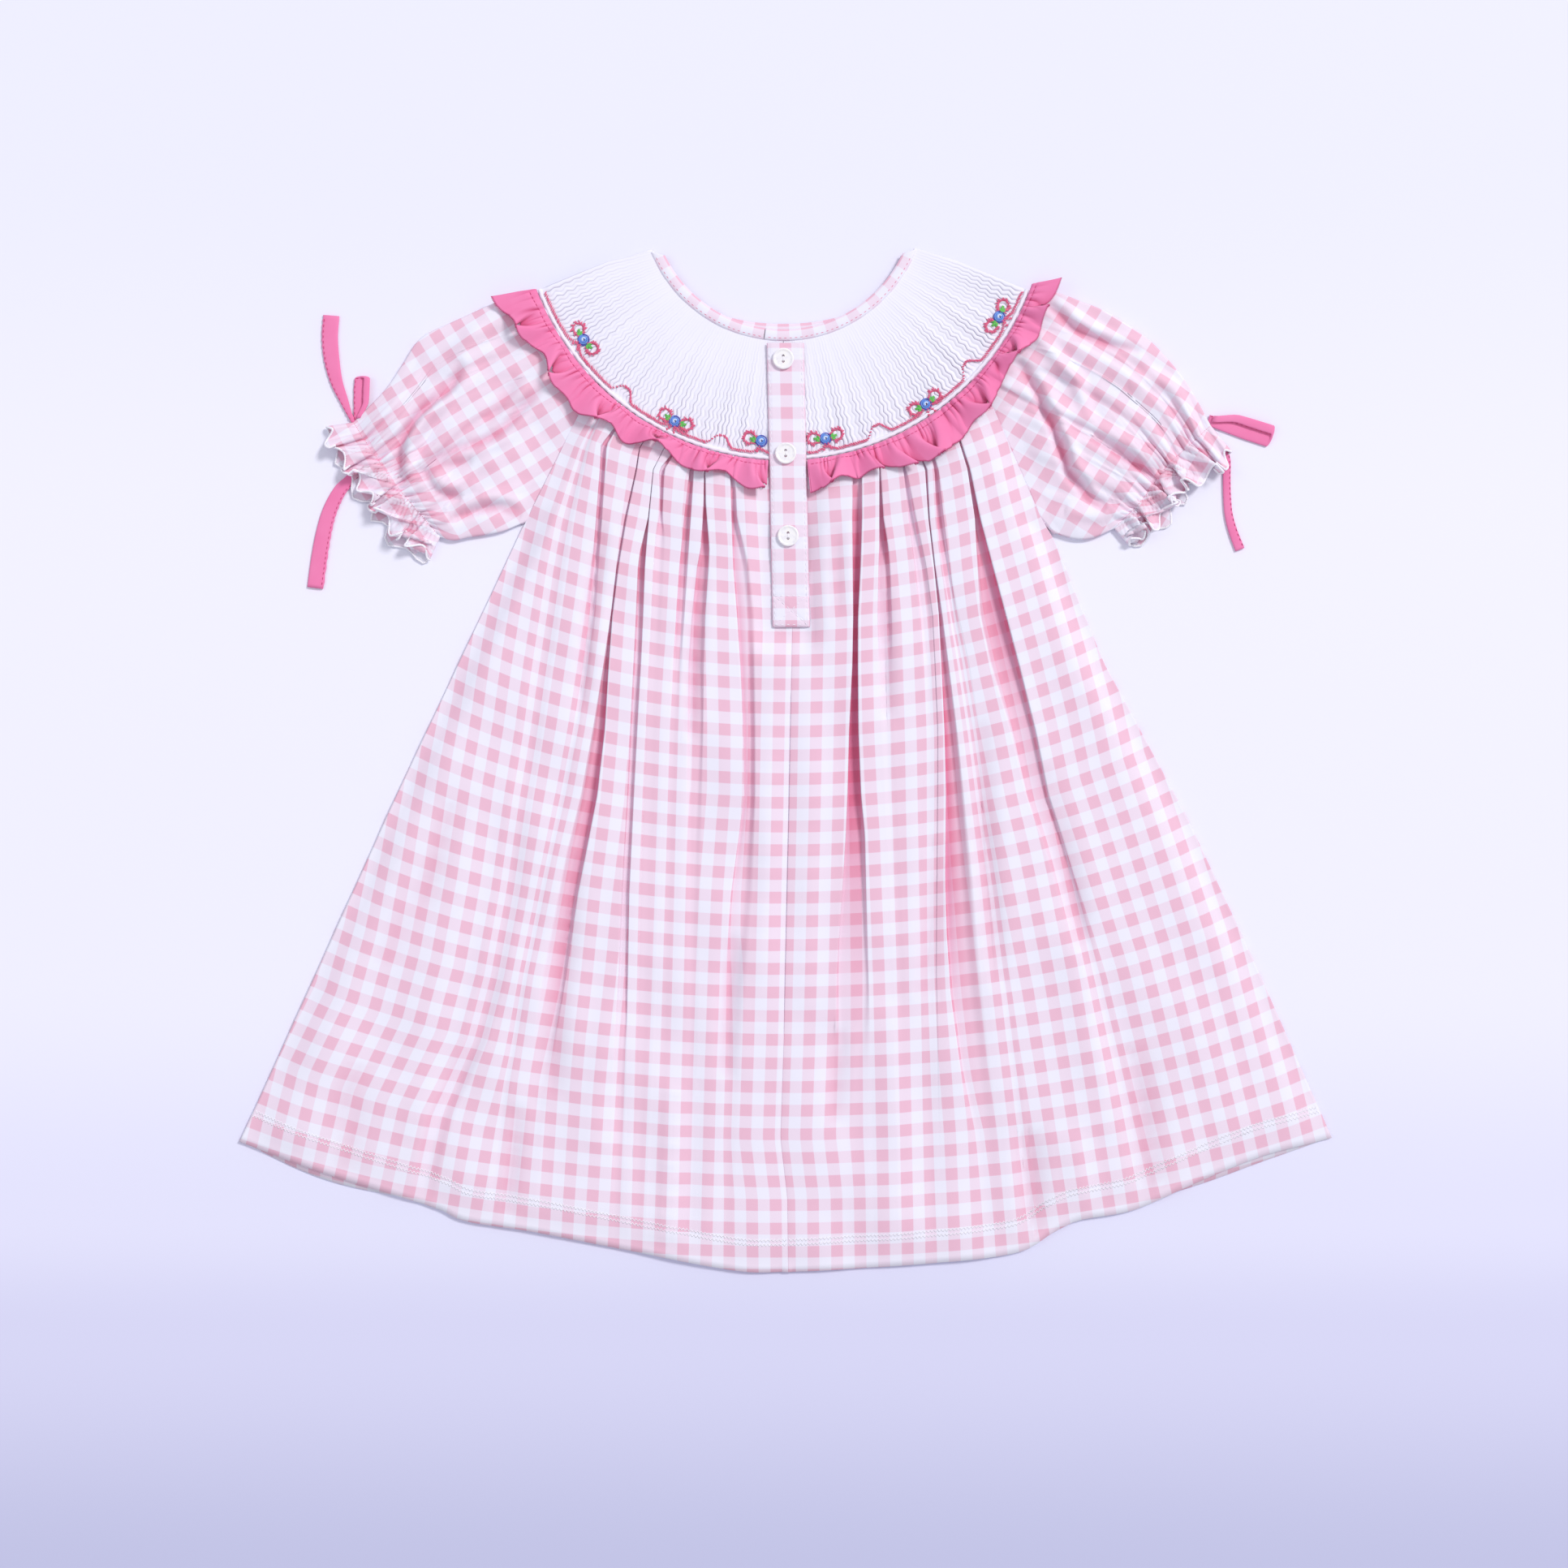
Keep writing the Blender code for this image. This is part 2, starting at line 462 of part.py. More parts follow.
def make_yoke_back(side):
    """Half of the smocked back yoke: pleats raised on a plain inside, running out from the neck."""
    sign = -1 if side == "left" else 1
    columns = 2 * YOKE_RIDGES + 1
    outer, inner = [], []
    for radius in YOKE_RINGS:
        degrees = np.linspace(math.degrees(SEAM / 2 / radius), shoulder(side, radius), columns)
        ring = polar(radius, sign * degrees)
        base = 1.8 + 0.6 * (radius - YOKE_RINGS[0]) / (YOKE_R - YOKE_RINGS[0])
        out = (radius - YOKE_RINGS[0]) / (YOKE_R - YOKE_RINGS[0])
        ridge = (RIDGE_NECK + (RIDGE_EDGE - RIDGE_NECK) * out) * (np.arange(columns) % 2)
        ridge = ridge * (np.abs(ring[:, 0] - PLACKET_X) > PLACKET_HALF + 1.0)
        inner.append(np.column_stack([ring, np.full(columns, base)]))
        outer.append(np.column_stack([ring, base + WALL + ridge]))
    wall(f"yoke_back_{side}", np.array(outer), np.array(inner), white)


def make_yoke_front():
    degrees = np.linspace(-1.0, 1.0, 31)
    low = []
    for radius in (BINDING_OUT + SEAM, 108.0, YOKE_R):
        ring = polar(radius, degrees * float(shoulder("right", radius)))
        low.append(np.column_stack([ring, np.zeros(31)]))
    low = np.array(low)
    wall("yoke_front", low + np.array([0.0, 0.0, 1.5]), low, white)


def make_piping(name, first, last, height):
    """The white cord in the yoke seam, as a tube along its ring."""
    curve = bpy.data.curves.new(name, "CURVE")
    curve.dimensions = "3D"
    curve.bevel_depth = PIPE_R * MM
    curve.bevel_resolution = 1
    curve.use_fill_caps = True
    degrees = np.linspace(first, last, max(4, int(abs(last - first) / 4.5)))
    spline = curve.splines.new("POLY")
    spline.points.add(len(degrees) - 1)
    for point, place in zip(spline.points, polar(PIPE_RING, degrees)):
        point.co = (place[0] * MM, place[1] * MM, height * MM, 1.0)
    curve.materials.append(white)
    dress.objects.link(bpy.data.objects.new(name, curve))


def make_binding(name, first, last, low, dip):
    """The gingham band round the neck, crowned across its width, its ends cut on a slant."""
    columns = max(8, int(abs(last - first) / 5))
    outer, inner = [], []
    for share, crown in ((0.0, 1.3), (0.5, 1.8), (1.0, 1.5)):
        cut = 1.0 - END_SLANT * (1.0 - share)
        degrees = np.linspace(first * (cut if abs(first) > 45.0 else 1.0), last * cut, columns)
        inside = HOLE_R - dip * np.clip(np.cos(np.radians(degrees * 3.2)), 0.0, None) * (np.abs(degrees) < 28.0)
        ring = polar(inside + (BINDING_OUT - inside) * share, degrees)
        inner.append(np.column_stack([ring, np.full(columns, low)]))
        outer.append(np.column_stack([ring, np.full(columns, low + crown)]))
    wall(name, np.array(outer), np.array(inner), gingham)


def placket_low(y):
    """Height of the underside of the placket, over the yoke, the seam and then the skirt."""
    return np.interp(-y, (-182.0, -174.0, -112.0, -92.0), (4.0, 4.8, 4.8, 3.3))


def make_placket():
    y = np.array([PLACKET_TOP, 203.0, 182.0, 174.0, 152.0, 132.0, 112.0, 92.0, 82.0, PLACKET_BOTTOM])
    middle = np.interp(-y, (-PLACKET_TOP, -PLACKET_BOTTOM), (PLACKET_X, PLACKET_X + PLACKET_SLANT))
    low = np.array([np.column_stack([middle + reach * PLACKET_HALF, y, placket_low(y)])
                    for reach in (-1.0, 0.0, 1.0)])
    wall("placket", low + np.array([0.0, 0.0, PLACKET_THICK]), low, gingham)


def make_button(name, x, y):
    """A two-hole pearl button with a raised rim, turned, then drilled."""
    outline = [(0.0, 1.1), (3.8, 1.1), (4.4, 1.8), (BUTTON_R - 0.4, 1.8), (BUTTON_R, 1.2), (4.4, 0.0),
               (0.0, 0.0)]
    bm = bmesh.new()
    line = [bm.verts.new((r * MM, 0.0, z * MM)) for r, z in outline]
    for a, b in zip(line, line[1:]):
        bm.edges.new((a, b))
    bmesh.ops.spin(bm, geom=bm.verts[:] + bm.edges[:], cent=(0, 0, 0), axis=(0, 0, 1),
                   angle=2 * math.pi, steps=16, use_merge=True)
    bmesh.ops.remove_doubles(bm, verts=bm.verts[:], dist=0.00001)
    face_out(bm)
    mesh = bpy.data.meshes.new(name)
    bm.to_mesh(mesh)
    bm.free()
    mesh.materials.append(pearl)
    button = bpy.data.objects.new(name, mesh)
    button.location = (x * MM, y * MM, (float(placket_low(y)) + PLACKET_THICK + SEAM) * MM)
    dress.objects.link(button)
    for number, offset in enumerate((-1.45, 1.45)):
        bpy.ops.mesh.primitive_cylinder_add(vertices=6, radius=0.7 * MM, depth=6 * MM)
        drill = bpy.context.object
        drill.name = f"{name}_drill_{number}"
        drill.location = (x * MM, (y + offset) * MM, button.location.z + 1 * MM)
        drill.hide_render = True
        drill.display_type = "WIRE"
        for home in list(drill.users_collection):
            home.objects.unlink(drill)
        cutters.objects.link(drill)
        cut = button.modifiers.new(f"hole_{number}", "BOOLEAN")
        cut.operation = "DIFFERENCE"
        cut.object = drill


def sleeve_edges(side):
    """The four edges of a sleeve laid flat: cap, elastic, top fold and underarm."""
    sign = -1 if side == "left" else 1
    shape = SLEEVE[side]
    arc = polar(SKIRT_R + 0.1, sign * np.linspace(SHOULDER_DEG, RAGLAN_DEG + 0.6, 12))
    raglan = [(x + sign * (SEAM + 0.3), y) for x, y in SIDE[side] if shape["under"][0][1] + 3.0 < y < 200.0]
    cap = np.vstack([[shape["top"][0]], arc[1:], raglan, [shape["under"][0]]])
    return cap, rounded(shape["elastic"]), rounded(shape["top"]), rounded(shape["under"])


def sleeve_layout(side, u, v):
    cap, elastic, top, under = sleeve_edges(side)
    return patch(lambda f: along(cap, f), lambda f: along(elastic, f),
                 lambda f: along(top, f), lambda f: along(under, f), u, v)


def sleeve_row(side, v, beyond, fold_steps, flat_steps):
    """One closed section of a sleeve, over the top layer and back along the under layer."""
    share = np.linspace(0.0, 1.0, 121)
    line = sleeve_layout(side, share, v)
    under_line = line
    if beyond > 0:
        shape = SLEEVE[side]
        line = line + (along(rounded(shape["frill"]), share) - line) * beyond
        under_line = under_line + (along(rounded(shape["frill_under"]), share) - under_line) * beyond
        joint = (line[[0, -1]] + under_line[[0, -1]]) / 2
        for row in (line, under_line):
            for end, weight in ((0, np.clip(1 - share * 12, 0, 1)), (1, np.clip(1 - (1 - share) * 12, 0, 1))):
                row += (joint[end] - row[-end]) * weight[:, None]
    length = line_length(line)
    folds = []
    for foot, lean, places, tall in SLEEVE_FOLDS[side]:
        spot = float(np.interp(v, SLEEVE_SECTIONS, places)) * length
        under_ruffle = np.interp(v, (0.0, 0.12, SLEEVE_SECTIONS[1], 1.0), (0.0, 0.08, SLEEVE_SECTIONS[1], 1.0))
        rise = float(np.interp(under_ruffle, SLEEVE_SECTIONS, tall)) + 0.8 * beyond
        folds.append((spot, foot, rise, lean))
    place, height = pleated_row(length, folds, fold_steps, flat_steps)
    upper = on_line(line, place, height)
    across = place / length
    full = np.clip(np.sin(math.pi * np.clip(across, 0, 1)), 0, None) ** 0.5
    puff = PUFF * np.interp(v, (0.0, 0.12, 0.4, 0.8, 1.0), (0.0, 0.1, 1.0, 1.0, 0.35))
    upper[:, 2] += lift(upper[:, 0], upper[:, 1], BACK_LOW, BACK_HIGH) + full * puff
    back = np.linspace(1.0, 0.0, UNDER_STEPS + 1)
    flat = along(under_line, back)
    under_z = lift(flat[:, 0], flat[:, 1], FRONT_LOW, FRONT_HIGH)
    under = np.column_stack([flat, under_z])
    edges = []
    for end in (-1, 0):
        edges.append(np.array([*upper[end, :2], (upper[end, 2] + under[-1 - end, 2]) / 2]))
    inset = 1.6 / length
    upper[0, :2] = along(line, inset)
    upper[-1, :2] = along(line, 1 - inset)
    under[0, :2] = along(under_line, 1 - inset)
    under[-1, :2] = along(under_line, inset)
    return np.vstack([edges[1][None], upper, edges[0][None], under])


def make_sleeve(side):
    rows = [sleeve_row(side, v, 0.0, 4, 1) for v in SLEEVE_ROWS]
    rows += [sleeve_row(side, 1.0, beyond, 4, 1) for beyond in FRILL_ROWS]
    grid = np.array(rows)
    if side == "left":
        grid = grid[:, ::-1]
    cloth(f"sleeve_{side}", grid, gingham, closed=True)


def strap(name, middle, across, half_width):
    """A flat strap about a line of middle points, with a sideways direction and width at each."""
    flow = np.gradient(middle, axis=0)
    flow /= np.linalg.norm(flow, axis=1)[:, None]
    up = np.cross(flow, across)
    up /= np.linalg.norm(up, axis=1)[:, None]
    rows = [middle + across * half_width[:, None] * reach for reach in (-1.0, 1.0)]
    thick = up * TIE_THICK / 2
    wall(name, np.array([row + thick for row in rows]), np.array([row - thick for row in rows]), pink)


def make_tail(name, stations):
    """A free end of a tie."""
    fine = rounded(stations, 2)
    flow = np.gradient(fine[:, :2], axis=0)
    flow /= np.hypot(*flow.T)[:, None]
    across = np.column_stack([-flow[:, 1], flow[:, 0], np.zeros(len(fine))])
    middle = np.column_stack([fine[:, :2], np.full(len(fine), TIE_THICK / 2)])
    strap(name, middle, across, fine[:, 2] / 2)


def make_loop(name, root, tip, width, slip):
    """A bow's loop: the strap runs out, turns over in a tight bend and runs back above itself."""
    root, tip = np.array(root), np.array(tip)
    reach = np.hypot(*(tip - root))
    flow = (tip - root) / reach
    side_on = np.array([-flow[1], flow[0]])
    bend = TIE_THICK / 2 + SEAM
    section = [(reach * f, 0.0) for f in (0.0, 0.3, 0.6)]
    section += [(reach - bend + bend * math.sin(a), bend - bend * math.cos(a))
                for a in np.linspace(0.0, math.pi, 7)]
    section += [(reach * f, 2 * bend) for f in (0.6, 0.3, 0.06)]
    section = np.array(section)
    slide = slip * section[:, 1] / (2 * bend) * (0.4 + 0.6 * section[:, 0] / reach)
    flat = root + section[:, :1] * flow - slide[:, None] * side_on
    middle = np.column_stack([flat, section[:, 1] + TIE_THICK / 2])
    across = np.tile([*side_on, 0.0], (len(middle), 1))
    taper = np.interp(section[:, 0], (0.0, reach * 0.6), (0.72, 1.0))
    strap(name, middle, across, taper * width / 2)


clear_scene()
dress = bpy.data.collections.new("smocked_dress")
cutters = bpy.data.collections.new("cutters")
for collection in (dress, cutters):
    bpy.context.scene.collection.children.link(collection)

gingham = material("pink gingham jersey", (0.93, 0.66, 0.76), 0.85)
white = material("white smocked cotton", (0.93, 0.93, 0.96), 0.85)
pink = material("pink jersey", (0.87, 0.18, 0.42), 0.8)
pearl = material("pearl shell", (0.92, 0.91, 0.89), 0.25)

make_skirt_front()
make_ruffle_front()
make_yoke_front()
make_piping("piping_front", -SHOULDER_DEG, SHOULDER_DEG, PIPE_R)
make_binding("neck_binding_front", -67.6, 68.8, 0.0, FRONT_DIP)
for half_name in ("left", "right"):
    make_skirt_back(half_name)
    make_ruffle_back(half_name)
    make_yoke_back(half_name)
    make_sleeve(half_name)
make_piping("piping_back_left", -placket_deg("left", PIPE_RING), -SHOULDER_DEG, 3.4)
make_piping("piping_back_right", placket_deg("right", PIPE_RING), SHOULDER_DEG, 3.4)
opening_deg = math.degrees(-PLACKET_HALF / HOLE_R)
make_binding("neck_binding_left", opening_deg - 0.15, -67.6, 2.1, 0.0)
make_binding("neck_binding_right", opening_deg + 0.15, 68.8, 2.1, 0.0)
make_placket()
for number, (button_x, button_y) in enumerate(((-1.3, 215.3), (0.0, 164.5), (1.3, 120.3)), start=1):
    make_button(f"button_{number}", button_x, button_y)
for tie_name, tie_stations in TIES.items():
    make_tail(tie_name, tie_stations)
for loop_name, loop_sizes in LOOPS.items():
    make_loop(loop_name, *loop_sizes)
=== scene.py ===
"""The looks of a girl's smocked bishop dress, laid flat on its front with the buttoned back up.

Lengths are in millimetres until a mesh is made: x across the dress, y towards the neck, z up from
the surface it lies on. The smocked yoke is round, so what hangs from it is placed by a radius from
the middle of the neck and an angle from straight down, positive to the right.
"""
import math

import bmesh
import bpy
import numpy as np
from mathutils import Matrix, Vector


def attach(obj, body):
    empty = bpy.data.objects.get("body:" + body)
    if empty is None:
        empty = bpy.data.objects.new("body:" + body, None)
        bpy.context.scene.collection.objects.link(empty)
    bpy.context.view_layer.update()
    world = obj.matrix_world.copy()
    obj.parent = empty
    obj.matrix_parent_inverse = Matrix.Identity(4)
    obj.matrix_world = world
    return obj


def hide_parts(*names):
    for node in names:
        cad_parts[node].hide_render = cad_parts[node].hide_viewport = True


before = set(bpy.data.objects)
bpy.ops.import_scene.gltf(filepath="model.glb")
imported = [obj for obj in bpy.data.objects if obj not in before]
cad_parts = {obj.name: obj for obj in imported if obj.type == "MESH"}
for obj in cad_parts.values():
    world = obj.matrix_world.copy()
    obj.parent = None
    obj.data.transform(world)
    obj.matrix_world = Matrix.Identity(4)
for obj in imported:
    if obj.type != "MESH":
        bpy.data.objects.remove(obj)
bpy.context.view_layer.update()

# The surface and the studio. The dress lies on a sheet of pale paper whose colour is painted darker
# towards its far edge and, most of all and most lilac, towards its near edge, where the light falls off,
# under one broad lamp at the upper right and a pale sky, and is seen from straight above.
MM = 0.001
FLOOR_HALF = 3000.0
FLOOR_DROP = 0.3
CAMERA_X, CAMERA_Y, CAMERA_Z = -0.9, -12.7, 1174.0
FLOOR_PAINTED_FALLOFF = [
    # y, and the paper's screen colour there, with the falloff of light painted in
    (-440.0, (198, 200, 229)),
    (-308.0, (219, 219, 244)),
    (-246.0, (231, 231, 251)),
    (-115.0, (242, 242, 255)),
    (120.0, (243, 243, 255)),
    (330.0, (238, 239, 254)),
]


def screen(red, green, blue):
    """Linear colour of a screen colour from 0 to 255."""
    shares = (red / 255.0, green / 255.0, blue / 255.0)
    return (*(((share + 0.055) / 1.055) ** 2.4 for share in shares), 1.0)


def new_material(name, roughness):
    """A material with its node tree's nodes, links and shader."""
    mat = bpy.data.materials.new(name)
    mat.use_nodes = True
    shader = mat.node_tree.nodes["Principled BSDF"]
    shader.inputs["Roughness"].default_value = roughness
    return mat, mat.node_tree.nodes, mat.node_tree.links, shader


def colour_ramp(nodes, stops, interpolation="LINEAR"):
    """A colour ramp through screen colours, each at a share of the way."""
    ramp = nodes.new("ShaderNodeValToRGB")
    ramp.color_ramp.interpolation = interpolation
    while len(ramp.color_ramp.elements) < len(stops):
        ramp.color_ramp.elements.new(0.5)
    for stop, (share, tone) in zip(ramp.color_ramp.elements, stops):
        stop.position = share
        stop.color = screen(*tone)
    return ramp


def link_piece(name, data):
    """A new object in the scene, at the origin."""
    piece = bpy.data.objects.new(name, data)
    bpy.context.scene.collection.objects.link(piece)
    return piece


def mesh_from(bm, name):
    """The mesh that a bmesh holds. The bmesh is freed."""
    mesh = bpy.data.meshes.new(name)
    bm.to_mesh(mesh)
    bm.free()
    return mesh


paper, nodes, links, shader = new_material("paper", 0.9)
shader.inputs["Specular IOR Level"].default_value = 0.1
place = nodes.new("ShaderNodeTexCoord")
split = nodes.new("ShaderNodeSeparateXYZ")
reach = nodes.new("ShaderNodeMapRange")
reach.inputs["From Min"].default_value = FLOOR_PAINTED_FALLOFF[0][0] * MM
reach.inputs["From Max"].default_value = FLOOR_PAINTED_FALLOFF[-1][0] * MM
floor_from, floor_to = FLOOR_PAINTED_FALLOFF[0][0], FLOOR_PAINTED_FALLOFF[-1][0]
# Painted falloff of light: the paper's colour runs through these tones along y.
tones = colour_ramp(nodes, [((y - floor_from) / (floor_to - floor_from), tone) for y, tone in FLOOR_PAINTED_FALLOFF],
                    "EASE")
links.new(place.outputs["Object"], split.inputs[0])
links.new(split.outputs["Y"], reach.inputs["Value"])
links.new(reach.outputs["Result"], tones.inputs["Fac"])
links.new(tones.outputs["Color"], shader.inputs["Base Color"])

bm = bmesh.new()
bmesh.ops.create_grid(bm, x_segments=1, y_segments=1, size=FLOOR_HALF * MM)
bmesh.ops.translate(bm, verts=bm.verts[:], vec=(0, 0, -FLOOR_DROP * MM))
floor_mesh = mesh_from(bm, "floor")
floor_mesh.materials.append(paper)
link_piece("floor", floor_mesh)


def soft_lamp(name, spot, size, watts, tone):
    """A round soft lamp that faces the middle of the dress."""
    lamp = bpy.data.lights.new(name, "AREA")
    lamp.shape = "DISK"
    lamp.size = size * MM
    lamp.energy = watts
    lamp.color = tone
    holder = link_piece(name, lamp)
    holder.location = Vector(spot) * MM
    holder.rotation_euler = (Vector((0, 0, 0)) - holder.location).to_track_quat("-Z", "Y").to_euler()


soft_lamp("key_lamp", (5000.0, 4200.0, 7000.0), 2400.0, 525.0, (1.0, 0.98, 0.97))
soft_lamp("fill_lamp", (-1300.0, 300.0, 1400.0), 900.0, 2.5, (0.95, 0.95, 1.0))
sky = bpy.data.worlds.new("sky")
sky.use_nodes = True
sky.node_tree.nodes["Background"].inputs["Color"].default_value = (0.90, 0.90, 1.0, 1.0)
sky.node_tree.nodes["Background"].inputs["Strength"].default_value = 0.60
bpy.context.scene.world = sky
bpy.context.scene.view_settings.view_transform = "Standard"

lens = bpy.data.cameras.new("camera")
lens.lens = 50.0
lens.sensor_width = 36.0
camera = link_piece("camera", lens)
camera.location = (CAMERA_X * MM, CAMERA_Y * MM, CAMERA_Z * MM)
bpy.context.scene.camera = camera

# The back of the skirt, in two halves joined by a seam down the middle: cotton jersey printed with a
# 1/4 inch pink check, cut in wide panels, gathered into the round yoke seam and hemmed.
NECK_X, NECK_Y = -1.3, 302.4
SKIRT_R = 141.4
SEAM = 0.3
SEWN_GAP = 0.02
RAGLAN_DEG = 45.4
FRONT_LOW, FRONT_HIGH = 0.35, 1.6
BACK_LOW, BACK_HIGH = 2.3, 3.8
RUFFLE_REACH, RUFFLE_RAMP = 165.0, 182.0
CLOTH_THICK = 0.6
CHECK = 12.7
CHECK_WHITE, CHECK_MID, CHECK_DARK = (243, 242, 253), (243, 226, 240), (240, 193, 212)
# Painted shade: the tone that the check is multiplied by inside folds, creases and seams.
POCKET_PAINTED_SHADE = (240, 162, 186)

SIDE = {
    "left": [(-115.1, 178.1), (-139.2, 129.5), (-141.6, 125.5),
             (-158.9, 88.4), (-209.2, -18.0), (-283.6, -182.5), (-294.1, -205.2)],
    "right": [(111.6, 189.0), (119.4, 171.5), (136.5, 132.2), (144.0, 119.6),
              (171.5, 52.0), (215.3, -29.0), (250.3, -104.0), (294.1, -203.2)],
}
HEM = {
    "left": [(1.3, -275.3), (-27.6, -274.4), (-86.2, -263.4), (-134.8, -253.8), (-172.0, -248.0),
             (-187.0, -241.5), (-217.0, -231.9), (-252.1, -221.0), (-294.1, -205.2)],
    "right": [(1.3, -275.3), (35.9, -273.5), (79.6, -270.4), (124.0, -265.0), (144.0, -254.0),
              (158.0, -247.5), (187.0, -242.0), (215.3, -229.7), (254.7, -213.5), (294.1, -203.2)],
}
CENTRE_SEAM = [(3.5, 72.0), (1.8, -27.0), (-1.0, -150.0), (-2.8, -203.0),
               (0.9, -235.0), (1.3, -275.3)]
